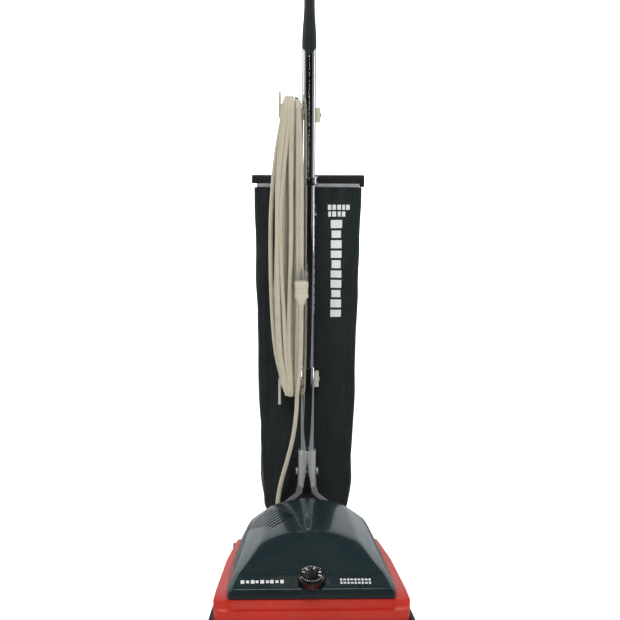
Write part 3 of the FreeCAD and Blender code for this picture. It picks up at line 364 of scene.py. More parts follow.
def lofted(name, rings, filled=True):
    """A skin through rings that all have the same number of points."""
    deselect()
    bpy.ops.mesh.primitive_circle_add(vertices=len(rings[0]), fill_type="NGON" if filled else "NOTHING")
    obj = bpy.context.object
    obj.name = name
    bpy.ops.object.mode_set(mode="EDIT")
    bm = bmesh.from_edit_mesh(obj.data)
    spot = bm.verts.layers.int.new("spot")
    for k, corner in enumerate(bm.verts):
        corner[spot] = k
        corner.co = rings[0][k]
    for ring in rings[1:]:
        bpy.ops.mesh.extrude_region_move()
        bm = bmesh.from_edit_mesh(obj.data)
        spot = bm.verts.layers.int["spot"]
        for corner in bm.verts:
            if corner.select:
                corner.co = ring[corner[spot]]
    bpy.ops.mesh.select_all(action="SELECT")
    bpy.ops.mesh.normals_make_consistent(inside=False)
    bpy.ops.object.mode_set(mode="OBJECT")
    return obj


def eased(stations, count):
    """Rows between the given rows of numbers, on smooth curves through them."""
    rows = []
    for k in range(count):
        at = k / (count - 1) * (len(stations) - 1)
        low = min(int(at), len(stations) - 2)
        before, after = max(low - 1, 0), min(low + 2, len(stations) - 1)
        t = at - low
        row = []
        for a, b, c, d in zip(stations[before], stations[low], stations[low + 1], stations[after]):
            row.append(0.5 * (2 * b + (c - a) * t + (2 * a - 5 * b + 4 * c - d) * t * t
                              + (3 * b - a - 3 * c + d) * t ** 3))
        rows.append(row)
    return rows


# %% [markdown]
# ## Softened copies
# A moulding never has a knife edge. The fixed parts can't be changed, so a copy is merged into whole faces,
# its edges are bevelled, and the copy stands in for the part. The bevel is what catches the light.

# %% A bevelled copy of a fixed part


def whole_faces(node):
    """A copy of a fixed part whose triangles are merged back into whole faces."""
    mesh = nodes[node].data.copy()
    obj = bpy.data.objects.new(node + "_soft", mesh)
    bpy.context.scene.collection.objects.link(obj)
    take(obj)
    if mesh.has_custom_normals:
        bpy.ops.mesh.customdata_custom_splitnormals_clear()
    bpy.ops.object.mode_set(mode="EDIT")
    bpy.ops.mesh.select_all(action="SELECT")
    bpy.ops.mesh.remove_doubles(threshold=0.02 * MM)
    bpy.ops.mesh.dissolve_limited(angle_limit=math.radians(1.5))
    bpy.ops.object.mode_set(mode="OBJECT")
    return obj


def softened(node, width, segments=3):
    return smooth(bevelled(whole_faces(node), width, segments), 40)


# %% [markdown]
# ## Finishes
# Each finish is one material, made from soft noise at a few sizes. The glossy mouldings come first: a clear
# coat over a faint orange peel, with rubbed patches that are a little rougher. Image textures could do it,
# but noise has no seams and needs no unwrapping.

# %% Gloss mouldings


def gloss(name, colour, worn, rough=0.2, coat=0.7, peel=0.00005):
    """Moulded plastic: even colour, faint flow marks, rubbed patches that are a little rougher."""
    finish = Finish(name, colour, rough, coat=coat, coat_rough=0.05)
    flow = finish.grain(9, 4, (1, 1, 0.5))
    rubbed = finish.grain(38, 6).ease(0.58, 0.78)
    tone = finish.mix(flow.ease(0.3, 0.75), colour, worn)
    finish.drive("Base Color", tone)
    finish.drive("Roughness", rough + 0.16 * rubbed + 0.05 * flow)
    finish.relief(finish.grain(260, 2) + 0.5 * finish.grain(900, 2), peel, 0.5)
    return finish.material


RED = gloss("red_gloss", (0.60, 0.024, 0.008), (0.52, 0.019, 0.006), rough=0.22, coat=0.3)
HOOD = gloss("charcoal_gloss", (0.011, 0.023, 0.027), (0.014, 0.028, 0.032), rough=0.24, coat=0.6)
KNOB = gloss("knob_gloss", (0.004, 0.004, 0.005), (0.008, 0.008, 0.009), rough=0.2, coat=0.8)
CREAM = gloss("cream_moulding", (0.60, 0.57, 0.45), (0.52, 0.49, 0.38), rough=0.38, coat=0.2)
DUCT = gloss("black_moulding", (0.012, 0.012, 0.013), (0.02, 0.02, 0.021), rough=0.42, coat=0.1, peel=0.0003)

# %% [markdown]
# The chrome is nearly a mirror with fine lines along its length. The satin metals are only partly metallic:
# the lamps are hidden from reflections, so a fully metallic rough surface would turn black.

# %% Chrome, steel and the other metals


def metal(name, colour, dull, rough, spread, stretch=(1, 1, 0.02), metallic=1.0):
    """Bare metal: long fine lines, a patchy film and a few duller spots."""
    finish = Finish(name, colour, rough, metal=metallic)
    lines = finish.grain(900, 2, stretch)
    film = finish.grain(26, 5)
    finish.drive("Base Color", finish.mix(film.ease(0.45, 0.8), colour, dull))
    finish.drive("Roughness", rough + spread * film.ease(0.4, 0.85) + 0.04 * lines)
    finish.relief(lines, 0.03 * MM, 0.35)
    return finish.material


PARTLY = 0.55
CHROME = metal("chrome", (0.80, 0.83, 0.84), (0.70, 0.74, 0.75), 0.035, 0.05)
BRIGHT = metal("bright_plate", (0.74, 0.75, 0.76), (0.58, 0.59, 0.60), 0.14, 0.1)
STEEL = metal("zinc_steel", (0.52, 0.53, 0.54), (0.36, 0.36, 0.36), 0.28, 0.2, (1, 1, 1), PARTLY)
SATIN = metal("satin_plate", (0.66, 0.67, 0.67), (0.50, 0.50, 0.50), 0.3, 0.15, metallic=PARTLY)
IRON = metal("core_iron", (0.20, 0.19, 0.18), (0.15, 0.10, 0.08), 0.45, 0.2, (1, 0.05, 1), PARTLY)
BRASS = metal("brass", (0.72, 0.53, 0.22), (0.50, 0.36, 0.16), 0.22, 0.15, (1, 1, 1))
ALLOY = metal("cast_alloy", (0.66, 0.67, 0.69), (0.50, 0.51, 0.52), 0.3, 0.15, (0.02, 1, 1), PARTLY)

# %% [markdown]
# Rubber, the grip and the bristles share one dull finish with a fine texture and paler dust. The brush roll
# is turned wood: its growth rings are noise stretched along the roll.

# %% Rubber, grip, wood and bristle


def matte(name, colour, pale, rough, fine=650, depth=0.0002):
    """A dull moulding with a fine texture and paler rubbed patches."""
    finish = Finish(name, colour, rough)
    dust = finish.grain(14, 6).ease(0.5, 0.85)
    finish.drive("Base Color", finish.mix(0.55 * dust, colour, pale))
    finish.drive("Roughness", rough + 0.12 * finish.grain(60, 4))
    finish.relief(finish.grain(fine, 3), depth, 0.6)
    return finish.material


RUBBER = matte("black_rubber", (0.010, 0.010, 0.011), (0.035, 0.034, 0.034), 0.55)
GRIP = matte("grip_rubber", (0.016, 0.021, 0.023), (0.035, 0.040, 0.042), 0.42, 420, 0.00015)
BRISTLE = matte("nylon_bristle", (0.035, 0.030, 0.028), (0.10, 0.09, 0.08), 0.5, 1400, 0.0002)


def turned_wood():
    finish = Finish("roll_beech", (0.42, 0.26, 0.13), 0.45, coat=0.25, coat_rough=0.2)
    rings = finish.grain(120, 6, (0.06, 1, 1))
    pores = finish.grain(1100, 2, (0.05, 1, 1)).ease(0.6, 0.7)
    tone = finish.mix(rings.ease(0.3, 0.7), (0.50, 0.32, 0.16), (0.33, 0.19, 0.09))
    finish.drive("Base Color", finish.mix(0.6 * pores, tone, (0.16, 0.09, 0.04)))
    finish.relief(rings + pores, 0.0002, 0.5)
    return finish.material


WOOD = turned_wood()

# %% [markdown]
# The bag is coated cloth. Crossed sine waves make the weave, because a noise would show no threads, and a
# broad noise adds the small creases that the mesh is too coarse for. The cord and the printed marks have a
# finish of their own.

# %% Cloth, cord jacket and ink


def coated_cloth():
    """A tight plain weave under a rubbery coat, with small creases and dusty wear."""
    finish = Finish("bag_cloth", (0.008, 0.016, 0.018), 0.5, sheen=0.06)
    x, y, z = finish.along("X"), finish.along("Y"), finish.along("Z")
    pitch = 2 * math.pi / (1.1 * MM)
    warp = ((x + y) * pitch).wave()
    weft = (z * pitch).wave()
    cloudy = finish.grain(7, 5)
    dusty = finish.grain(22, 8).ease(0.52, 0.8)
    tone = finish.mix(cloudy.ease(0.3, 0.72), (0.005, 0.011, 0.013), (0.010, 0.019, 0.021))
    finish.drive("Base Color", finish.mix(0.35 * dusty, tone, (0.018, 0.030, 0.032)))
    finish.drive("Roughness", 0.30 + 0.2 * cloudy + 0.06 * dusty)
    creases = finish.grain(26, 5, (1, 1, 0.6))
    finish.relief(0.5 * warp * weft + 0.8 * finish.grain(600, 3) + 9 * creases, 0.35 * MM, 0.9)
    return finish.material


CLOTH = coated_cloth()


def jacket():
    """The vinyl jacket of the cord: beige, slightly dirty where it rubs, with a soft gloss."""
    clean, dirty = (0.55, 0.51, 0.39), (0.40, 0.37, 0.28)
    finish = Finish("beige_jacket", clean, 0.42, coat=0.12, coat_rough=0.25)
    grime = finish.grain(55, 7).ease(0.45, 0.8)
    finish.drive("Base Color", finish.mix(0.5 * grime, clean, dirty))
    finish.drive("Roughness", 0.36 + 0.2 * grime)
    finish.relief(finish.grain(500, 3), 0.0002, 0.4)
    return finish.material


JACKET = jacket()


def plain_mark(name, colour):
    """Printed ink: slightly raised, a little worn."""
    finish = Finish(name, colour, 0.45)
    gone = finish.grain(900, 3).ease(0.66, 0.72)
    finish.drive("Base Color", finish.mix(0.5 * gone, colour, tuple(0.55 * c for c in colour)))
    finish.relief(finish.grain(1500, 2), 0.0001, 0.4)
    return finish.material


WHITE_INK = plain_mark("white_ink", (0.82, 0.84, 0.83))
print("finishes:", len(bpy.data.materials))

# %% [markdown]
# ## The power cord
# Fifteen metres of jacketed cord leave the strain relief, rise to the lower hook and are wound over both
# hooks. It could be a handful of separate loops, but one spline keeps it one cord. Three layers lie on the
# hook arms, each turn keeps its own lane, and the change of lane happens at the back.

# %% The route of the cord
CORD = 8 * MM
# the lead, from the strain relief to the lower hook
LEAD = [(-57, 54.5, 105), (-57.5, 58.5, 125), (-56, 69, 150), (-50, 82, 182), (-38, 88, 222), (-27, 89, 266),
        (-21, 87, 312), (-20, 85, 346)]
# height, left edge and right edge of the wound cord
SPREAD = [(345, -42, -20), (372, -45, -19), (420, -58, -16), (470, -64, -14), (560, -66, -13), (650, -66, -13),
          (740, -63, -13), (810, -56, -15), (862, -47, -18), (900, -46, -19)]
# layer and lane of each turn, the lane from 0 at the left to 1 at the right
TURNS = [(0, 1.0), (0, 0.5), (0, 0.0), (0, 0.76), (0, 0.26), (1, 0.12), (1, 0.88), (1, 0.62), (1, 0.36),
         (1, 0.99), (2, 0.2), (2, 0.55), (2, 0.4)]
# how far back each layer lies in front of and behind the hooks, and its height over and under them
FRONT, BACK = (89.5, 82, 75), (114.5, 121.5, 122.5)
OVER, UNDER = (880.5, 888, 894), (363.5, 356, 349.5)
FRONT_HEIGHTS = (385, 430, 500, 590, 680, 760, 820, 862)
BACK_HEIGHTS = (858, 780, 680, 560, 450, 388)
# how near the tube a strand may come, at the back and under the lower hook
BACK_LIMIT, UNDER_LIMIT = -21, -20
PLUG_END = [(-17, 75, 384), (-14, 72, 420), (-13, 66, 465), (-13, 62.5, 500), (-13, 62, 515), (-13, 62, 530)]


def across(lane, height):
    """How far along X a lane lies at a height."""
    for (low, left_a, right_a), (high, left_b, right_b) in zip(SPREAD, SPREAD[1:]):
        if height <= high:
            t = max(0, (height - low) / (high - low))
            left, right = left_a + (left_b - left_a) * t, right_a + (right_b - right_a) * t
            return left + (right - left) * lane
    return left + (right - left) * lane


def front_run(lane, front, lean):
    """Up the front, where each strand sways a little between the hooks."""
    slack = 0.3 if lane > 0.85 else 1
    low, high = FRONT_HEIGHTS[0], FRONT_HEIGHTS[-1]
    points = []
    for height in FRONT_HEIGHTS:
        free = math.sin(math.pi * (height - low) / (high - low))
        sway = 5.2 * lean[0] * math.sin(height / 78 + 3 * lean[1]) + 3.5 * lean[2]
        points.append((across(lane, height) + slack * free * sway, front - 1.6 * free * abs(lean[3]), height))
    return points


def back_run(lane, then, back, lean):
    """Down the back, where the strand changes to the lane of the next turn."""
    high, low = BACK_HEIGHTS[0], BACK_HEIGHTS[-1]
    points = []
    for height in BACK_HEIGHTS:
        t = (high - height) / (high - low)
        blend = lane + (then - lane) * t * t * (3 - 2 * t)
        free = math.sin(math.pi * t)
        x = min(across(blend, height) - 2 * free, BACK_LIMIT)
        points.append((x, back + free * lean[1] * 0.6, height))
    return points


def cord_route():
    """Points of the cord in millimetres: the lead, the turns and the end that carries the plug."""
    stray = random.Random(11)
    route = list(LEAD)
    for k, (layer, lane) in enumerate(TURNS):
        later, then = TURNS[k + 1] if k + 1 < len(TURNS) else (2, 0.97)
        front, back = FRONT[layer], BACK[layer]
        lean = [stray.uniform(-1, 1) for _ in range(4)]
        route += front_run(lane, front, lean)
        top = across(lane, OVER[layer])
        route += [(top, front + 1, OVER[layer]), (top, back - 1, OVER[layer])]
        route += back_run(lane, then, back, lean)
        low = min(across(then, UNDER[layer]), UNDER_LIMIT)
        route += [(low, back - 1, UNDER[layer]), (low, FRONT[later] + 1, UNDER[later])]
    return route + PLUG_END


print("cord route:", len(cord_route()), "points")

# %% [markdown]
# The route becomes a smooth spline that is given a round section and then turned into a mesh. A skin over
# rings would twist at the hooks, and the spline keeps its section upright. The bare line is kept as the
# cord's path.

# %% The cord along its route


def make_cord():
    points = [Vector(p) * MM for p in cord_route()]
    data = bpy.data.curves.new("power_cord", "CURVE")
    data.dimensions = "3D"
    spline = data.splines.new("NURBS")
    spline.points.add(len(points) - 1)
    for point, place in zip(spline.points, points):
        point.co = (*place, 1)
    spline.order_u = 3
    spline.use_endpoint_u = True
    spline.resolution_u = 8
    data.resolution_u = 8
    curve = bpy.data.objects.new("power_cord", data)
    bpy.context.scene.collection.objects.link(curve)
    line = bpy.data.meshes.new_from_object(curve)
    path = [tuple(v.co) for v in line.vertices]
    bpy.data.meshes.remove(line)
    data.bevel_depth = CORD / 2
    data.bevel_resolution = 4
    data.use_fill_caps = True
    take(curve)
    bpy.ops.object.convert(target="MESH")
    cord = settle(bpy.context.object, "power_cord")
    smooth(cord, 60)
    long = sum((Vector(b) - Vector(a)).length for a, b in zip(path, path[1:]))
    print("cord:", len(points), "points,", round(long, 3), "m,", len(cord.data.polygons), "faces")
    return cord, path


cord, cord_path = make_cord()
dress(cord, JACKET, None, "beige_cord", "cord_hank", "cord_lead")

# %% [markdown]
# The plug is a small moulding with a waist for the fingers. The strain relief is a rubber cone whose rings
# let it bend a little at a time. Both are skins over rings.

# %% Plug and strain relief


def rounded_ring(x, y, z, half_x, half_y, power=2.0, count=24):
    """One ring around an upright axis: an ellipse at power 2, squarer above."""
    ring = []
    for k in range(count):
        c, s = math.cos(2 * math.pi * k / count), math.sin(2 * math.pi * k / count)
        ring.append(Vector((x + half_x * math.copysign(abs(c) ** (2 / power), c),
                            y + half_y * math.copysign(abs(s) ** (2 / power), s), z)) * MM)
    return ring


def make_plug():
    """Rings of height, half width, half depth and squareness: sleeve, flange, finger waists and face."""
    x, y, _ = PLUG_END[-1]
    stations = [(526, 5.2, 5.2, 2), (527, 6.6, 6.6, 2), (534, 7.2, 7.2, 2), (536.5, 8.2, 8, 2.4),
                (539, 11.6, 10.6, 3.4), (541, 12.4, 11.8, 4), (546, 12.4, 11.8, 4), (547.5, 10.9, 11, 4),
                (549, 10.9, 11, 4),
                (550.5, 12.2, 11.8, 4), (553, 12.2, 11.8, 4), (554.5, 10.9, 11, 4), (556, 10.9, 11, 4),
                (557.5, 12.3, 11.8, 4), (566, 12.4, 11.9, 5), (569, 12, 11.5, 5), (570, 10.8, 10.4, 5)]
    rings = [rounded_ring(x, y, z, half_x, half_y, power, 32) for z, half_x, half_y, power in stations]
    return modify(lofted("plug_moulding", rings), "SUBSURF", levels=1, render_levels=1)


plug = smooth(make_plug(), 45)
dress(plug, CREAM, "handle", "cream_plastic", "cord_plug")


def make_relief():
    x, y, _ = LEAD[0]
    stations = [(67, 6.4), (78, 6.4), (79, 9), (82, 9.2), (83.5, 7.2)]
    grooves = 5
    for k in range(grooves):
        low, wide = 85 + 4 * k, 6.9 - 0.32 * k
        stations += [(low, wide), (low + 1.9, wide), (low + 2.4, wide - 1), (low + 3.5, wide - 1)]
    stations += [(105, 4.9)]
    rings = [rounded_ring(x, y, z, r, r) for z, r in stations]
    return smooth(lofted("strain_cone", rings), 40)


relief = make_relief()
dress(relief, RUBBER, "base", "black_rubber", "cord_strain_relief")
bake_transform(cord)

# %% [markdown]
# ## The hood
# The hood is a thin glossy shell: a crowned top panel between two creases, a steep front slope and a flat
# deck with the knob. Rings of points along the machine give those creases, and subdivision rounds them.

# %% Hood shell
# y, top, crease x, crease z, side x, side z, rim x
HOOD_STATIONS = [
    (44.5, 163, 64, 149, 100, 124, 122), (43, 166, 66.5, 151.5, 103, 125, 124.5),
    (38, 167, 68.5, 152, 104, 125, 125.2), (0, 165.5, 73, 150, 108.5, 123, 130),
    (-39, 163.5, 77, 147.5, 113, 120, 135),
    (-80, 160.5, 81, 143.5, 118, 115.5, 138), (-100, 158.7, 83.5, 141, 120.5, 113, 139.5),
    (-112, 151.5, 87.5, 137.5, 122, 111, 140), (-150, 122.5, 107, 119, 128, 104, 141),
    (-163, 112.2, 117, 110, 133, 100, 141), (-170, 106.6, 122, 105.5, 136, 98, 141),
    (-178, 103.8, 126, 103, 137.5, 95.5, 141), (-196, 97.8, 130.5, 97.4, 139, 91.5, 140.5),
    (-201.5, 95.9, 130, 95.6, 136, 90, 137.5), (-203.2, 94, 128, 93.6, 134.5, 89, 136)]
RIM_LOW, RIM = 77.4, 79.6
NOSE_WALL = -204
# subdivision draws the creases, sides and rim inwards, so they start a little wide
WIDER = (1.01, 1.02, 1.018)


def hood_ring(y, top, crease_x, crease_z, side_x, side_z, rim_x):
    """One cross-section, from the left rim over the top to the right rim."""
    crease_x, side_x, rim_x = [wider * x for wider, x in zip(WIDER, (crease_x, side_x, rim_x))]
    crown = top - crease_z
    half = [(rim_x, RIM_LOW), (rim_x, RIM)]
    half += [(rim_x * 0.35 + side_x * 0.65, RIM * 0.35 + side_z * 0.65), (side_x, side_z)]
    half += [(side_x + (crease_x - side_x) * t, side_z + (crease_z - side_z) * t) for t in (0.4, 0.82)]
    half += [(crease_x, crease_z)]
    half += [(crease_x * t, top - crown * t * t) for t in (0.88, 0.55, 0.25)]
    left = [(-x, z) for x, z in half]
    return [Vector((x, y, z)) * MM for x, z in left + [(0, top)] + half[::-1]]


def hood_shell():
    """The rings, closed by a wall at the nose and open below, subdivided and thickened."""
    rings = [hood_ring(*row) for row in HOOD_STATIONS]
    nose, low = rings[-1], RIM_LOW * MM
    for keep in (0.6, 0.0):
        rings.append([Vector((p.x, NOSE_WALL * MM, low + (p.z - low) * keep)) for p in nose])
    shell = lofted("hood_shell", rings)
    bpy.ops.object.mode_set(mode="EDIT")
    bm = bmesh.from_edit_mesh(shell.data)
    for face in bm.faces:
        face.select_set(all(abs(v.co.z - low) < 0.2 * MM for v in face.verts))
    bmesh.update_edit_mesh(shell.data)
    bpy.ops.mesh.delete(type="FACE")
    bpy.ops.object.mode_set(mode="OBJECT")
    modify(shell, "SUBSURF", levels=3, render_levels=3)
    return modify(shell, "SOLIDIFY", thickness=3 * MM, offset=-1)


hood = hood_shell()
print("hood:", [round(size / MM) for size in hood.dimensions], "mm")

# %% [markdown]
# Nine slanted cooling slots sit left of the centre, and a round well takes the knob. Slots could be painted
# dark, but cut slots catch light on their edges. One cutter is rounded, copied and subtracted with one
# boolean.

# %% Slots and knob well
SLOTS, SLOT_LENGTH, SLOT_WIDTH, SLOT_PITCH = 9, 52 * MM, 3.6 * MM, 9.5 * MM
SLOT_TURN, SLOT_PLACE = math.radians(38), Vector((-70, -18, 150)) * MM
DECK_TILT, KNOB_SEAT = math.atan(1 / 3), Vector((0, -185, 101.5)) * MM


def subtract(obj, cutter):
    modify(obj, "BOOLEAN", object=cutter, operation="DIFFERENCE", solver="EXACT")
    bpy.data.objects.remove(cutter)
    return obj


def slot_cutters():
    deselect()
    bpy.ops.mesh.primitive_cube_add(size=1, scale=(SLOT_LENGTH, SLOT_WIDTH, 60 * MM))
    first = settle(bpy.context.object)
    bevelled(first, SLOT_WIDTH * 0.45, degrees=60)
    step = Vector((-math.sin(SLOT_TURN), math.cos(SLOT_TURN), 0)) * SLOT_PITCH
    places = [Matrix.Translation(SLOT_PLACE + step * (k - (SLOTS - 1) / 2)) @ Matrix.Rotation(SLOT_TURN, 4, "Z")
              for k in range(SLOTS)]
    return repeated(first, places, "slot_cutters")


def well_cutter():
    """A cylinder, square to the tilted deck, whose lower end is the floor of the well."""
    outwards = Vector((0, -math.sin(DECK_TILT), math.cos(DECK_TILT)))
    deselect()
    bpy.ops.mesh.primitive_cylinder_add(vertices=64, radius=25 * MM, depth=40 * MM, rotation=(DECK_TILT, 0, 0),
                                        location=KNOB_SEAT + outwards * 18.5 * MM)
    return settle(bpy.context.object)


subtract(hood, slot_cutters())
subtract(hood, well_cutter())
smooth(hood, 32)
dress(hood, HOOD, "base", "grey_shell", "hood")
print("hood:", len(hood.data.polygons), "faces")

# %% [markdown]
# The height knob is a turned black cap with finger notches and white marks around its face. The cap's fixed
# part is right, so its edges are softened. The marks are generic numbers and strokes, made from text and
# thin bars.

# %% Height knob and its marks
KNOB_TURN = Matrix.Translation(KNOB_SEAT) @ Matrix.Rotation(DECK_TILT, 4, "X")
# angles in degrees of the numbers 1 to 5, and the millimetres from the middle
NUMBER_ANGLES, NUMBER_RADIUS, NUMBER_HEIGHT = (162, 126, 72, 18, -18), 14.2, 16.1
STROKES, STROKE_RADIUS, STROKE_HEIGHT = 28, 18.4, 16.05
knob = softened("height_knob", 0.7 * MM, 2)
dress(knob, KNOB, "knob", "black_gloss", "height_knob")


def numeral(text, size, depth=0.25 * MM):
    """A raised number, as a mesh with its middle at the origin."""
    deselect()
    bpy.ops.object.text_add()
    obj = bpy.context.object
    obj.data.body, obj.data.size, obj.data.extrude = text, size, depth
    obj.data.align_x, obj.data.align_y = "CENTER", "CENTER"
    obj.data.offset = 0.2 * MM
    bpy.ops.object.convert(target="MESH")
    return bpy.context.object


def stroke(width, height, depth=0.3 * MM):
    """A small raised bar with softened corners."""
    deselect()
    bpy.ops.mesh.primitive_cube_add(size=1, scale=(width, height, depth))
    bar = settle(bpy.context.object)
    return modify(bar, "BEVEL", width=min(width, height) * 0.2, segments=2)


def around_knob(radius, angle, height):
    """A place on the face of the knob, turned so that it points outwards."""
    arm = Vector((radius * math.cos(angle), radius * math.sin(angle), height)) * MM
    return KNOB_TURN @ Matrix.Translation(arm) @ Matrix.Rotation(angle - math.pi / 2, 4, "Z")


def knob_marks():
    marks = []
    for k, degrees in enumerate(NUMBER_ANGLES):
        mark = numeral(str(k + 1), 7.5 * MM)
        mark.matrix_world = around_knob(NUMBER_RADIUS, math.radians(degrees), NUMBER_HEIGHT)
        marks.append(settle(mark))
    places = []
    for k in range(STROKES):
        angle = 2 * math.pi * k / STROKES
        above, below = 0.5 < angle < 2.64, 0.3 < angle - math.pi < 2.84
        if above or below:
            places.append(around_knob(STROKE_RADIUS, angle, STROKE_HEIGHT))
    marks.append(repeated(stroke(0.9 * MM, 2.6 * MM), places, "knob_strokes"))
    return join(marks, "knob_marks")


marks = knob_marks()
dress(marks, WHITE_INK, "knob", "black_gloss")
print("knob marks:", len(marks.data.polygons), "faces")

# %% [markdown]
# Plain blocks stand where the deck is printed. Each block is a small grid that is laid on the hood by a
# shrinkwrap and given a thickness. A picture on the surface would do too, but real blocks stay sharp at any
# distance.

# %% Printed blocks on the deck


def print_on(target, name, blocks, place, lift=0.25 * MM):
    """Small printed blocks, laid on a surface: each is (x, y, width, height) around a place."""
    deselect()
    bpy.ops.mesh.primitive_grid_add(x_subdivisions=4, y_subdivisions=4, size=1)
    places = [place @ Matrix.Translation((x * MM, y * MM, 0)) @ Matrix.Diagonal((width * MM, height * MM, 1, 1))
              for x, y, width, height in blocks]
    sheet = repeated(bpy.context.object, places, name)
    modify(sheet, "SHRINKWRAP", target=target, wrap_method="NEAREST_SURFACEPOINT", wrap_mode="ABOVE_SURFACE",
           offset=lift)
    return modify(sheet, "SOLIDIFY", thickness=0.2 * MM, offset=-1)


DECK = Matrix.Translation(Vector((0, -187, 101)) * MM) @ Matrix.Rotation(DECK_TILT, 4, "X")
left_row = [(-116 + 8.2 * k + 0.4 * (k % 3), 1, 6.2 - 1.4 * (k % 2), 8.5 - 2 * (k % 2)) for k in range(9)]
right_rows = [(50 + 6 * k, row, 4.6 - 1.2 * ((k + row) % 2), 5 - 1.2 * (k % 2))
              for row in (5, -3) for k in range(9)]
for name, blocks in (("deck_print_left", left_row), ("deck_print_right", right_rows)):
    deck_print = print_on(hood, name, blocks, DECK)
    dress(deck_print, WHITE_INK, "base", "grey_shell")
    print(name + ":", len(blocks), "blocks")

# %% [markdown]
# ## The red nozzle housing, its bumper and the metalwork
# These fixed parts already have the right shape. Softened copies carry the gloss, so each edge shows a thin
# highlight. The housing has wider roundings than one bevel gives, so its upright corners and its upper
# outer edges are picked by where they lie and are bevelled one set at a time.

# %% Housing, bumper and fittings
# part, bevel width in millimetres, finish
SOFT = [("furniture_bumper", 1.6, RUBBER), ("upper_hook", 1.0, CREAM),
        ("lower_hook", 1.0, CREAM), ("bail_left", 0.5, SATIN), ("bail_right", 0.5, SATIN),
        ("bag_top_bar", 1.2, DUCT), ("bag_slide", 0.5, ALLOY), ("bag_hanger", 0.8, BRIGHT),
        ("release_pedal", 1.5, DUCT), ("hook_backplate", 0.5, CHROME), ("rear_wheel_left", 3.0, RUBBER),
        ("rear_wheel_right", 3.0, RUBBER), ("front_wheel_left", 2.0, RUBBER), ("front_wheel_right", 2.0, RUBBER),
        ("upper_hook_screw", 0.6, STEEL), ("lower_hook_screw", 0.6, STEEL), ("bail_bolt", 0.8, STEEL),
        ("switch_rocker", 0.8, KNOB), ("switch_bezel", 0.8, DUCT), ("bag_neck", 1.0, RUBBER),
        ("upper_tube", 0.4, CHROME), ("lower_tube", 0.5, CHROME), ("tube_rivet", 0.5, STEEL),
        ("bottom_plate", 0.4, STEEL)]
body_with = {name: body for body, names in frame["record"]["behaviour"]["bodies"].items() for name in names}
slot_with = {entry["node"]: entry["material_slot"] for entry in frame["record"]["subparts"]}



def outer_edges(bm, upright):
    """The long upright corners of the housing, or else its upper outer edges."""
    chosen = []
    for edge in bm.edges:
        a, b = edge.verts[0].co, edge.verts[1].co
        length, rise, turn = (a - b).length, abs(a.z - b.z), edge.calc_face_angle(0)
        outer = all(abs(p.x) > 128 * MM or p.y < -226 * MM for p in (a, b))
        corner = rise > 0.95 * length and length > 30 * MM and turn > 0.02
        rim = rise < 0.35 * length and min(a.z, b.z) > 60 * MM and turn > 0.5
        if outer and (corner if upright else rim):
            chosen.append(edge)
    return chosen


def rounded_housing():
    """The nozzle housing with wide roundings on its upright corners and along its upper outer edge."""
    obj = whole_faces("nozzle_housing")
    bpy.ops.object.mode_set(mode="EDIT")
    for upright, width, steps in ((True, 16 * MM, 6), (False, 7 * MM, 5)):
        bpy.ops.mesh.select_all(action="DESELECT")
        bm = bmesh.from_edit_mesh(obj.data)
        chosen = outer_edges(bm, upright)
        for edge in chosen:
            edge.select_set(True)
        bmesh.update_edit_mesh(obj.data)
        print("rounding", len(chosen), "edges")
        bpy.ops.mesh.bevel(offset=width, segments=steps, affect="EDGES", clamp_overlap=True)
    bpy.ops.object.mode_set(mode="OBJECT")
    return smooth(bevelled(obj, 1.2 * MM, degrees=32), 40)


dress(rounded_housing(), RED, "base", "red_shell", "nozzle_housing")
for node, width, finish in SOFT:
    dress(softened(node, width * MM), finish, body_with[node], slot_with[node], node)
print("softened:", len(SOFT) + 1)

# %% [markdown]
# ## The grip
# The grip is a dark moulding pulled over the tube. Its lower end comes to a V at the front, and its top
# bends back towards the hand. Rings along that bent line give the shape, with finger ribs on the inside of
# the bend.

# %% Grip
# lower end, straight length, radius and angle of the bend, straight length after it
GRIP_LOW, GRIP_STRAIGHT, GRIP_BEND, GRIP_TURN, GRIP_END = 967.1, 108, 90, math.radians(50), 66
TUBE_Y = 107.5
GRIP_LENGTH = GRIP_STRAIGHT + GRIP_BEND * GRIP_TURN + GRIP_END
# half widths at the mouth and further up, and half the depth at the mouth
MOUTH, WAIST, DEEP = 13.1, 9.6, 13.6


def grip_line(along):
    """Point and lean of the grip's middle line at a distance from its lower end, in millimetres."""
    y, z = TUBE_Y, GRIP_LOW
    if along <= GRIP_STRAIGHT:
        return y, z + along, 0.0
    z += GRIP_STRAIGHT
    lean = min((along - GRIP_STRAIGHT) / GRIP_BEND, GRIP_TURN)
    y, z = y + GRIP_BEND * (1 - math.cos(lean)), z + GRIP_BEND * math.sin(lean)
    rest = max(0, along - GRIP_STRAIGHT - GRIP_BEND * GRIP_TURN)
    return y + rest * math.sin(lean), z + rest * math.cos(lean), lean


def grip_steps():
    """Distances along the grip, each with how far its ring is drawn in: both ends are rounded."""
    steps = [(0, 0.97)] + [(along, 1.0) for along in (0.6, 3, 8, 14, 22)]
    steps += [(30 + 6.1 * k, 1.0) for k in range(int((GRIP_LENGTH - 34) / 6.1))]
    return steps + [(GRIP_LENGTH - 4, 0.96), (GRIP_LENGTH - 1, 0.8), (GRIP_LENGTH, 0.5)]


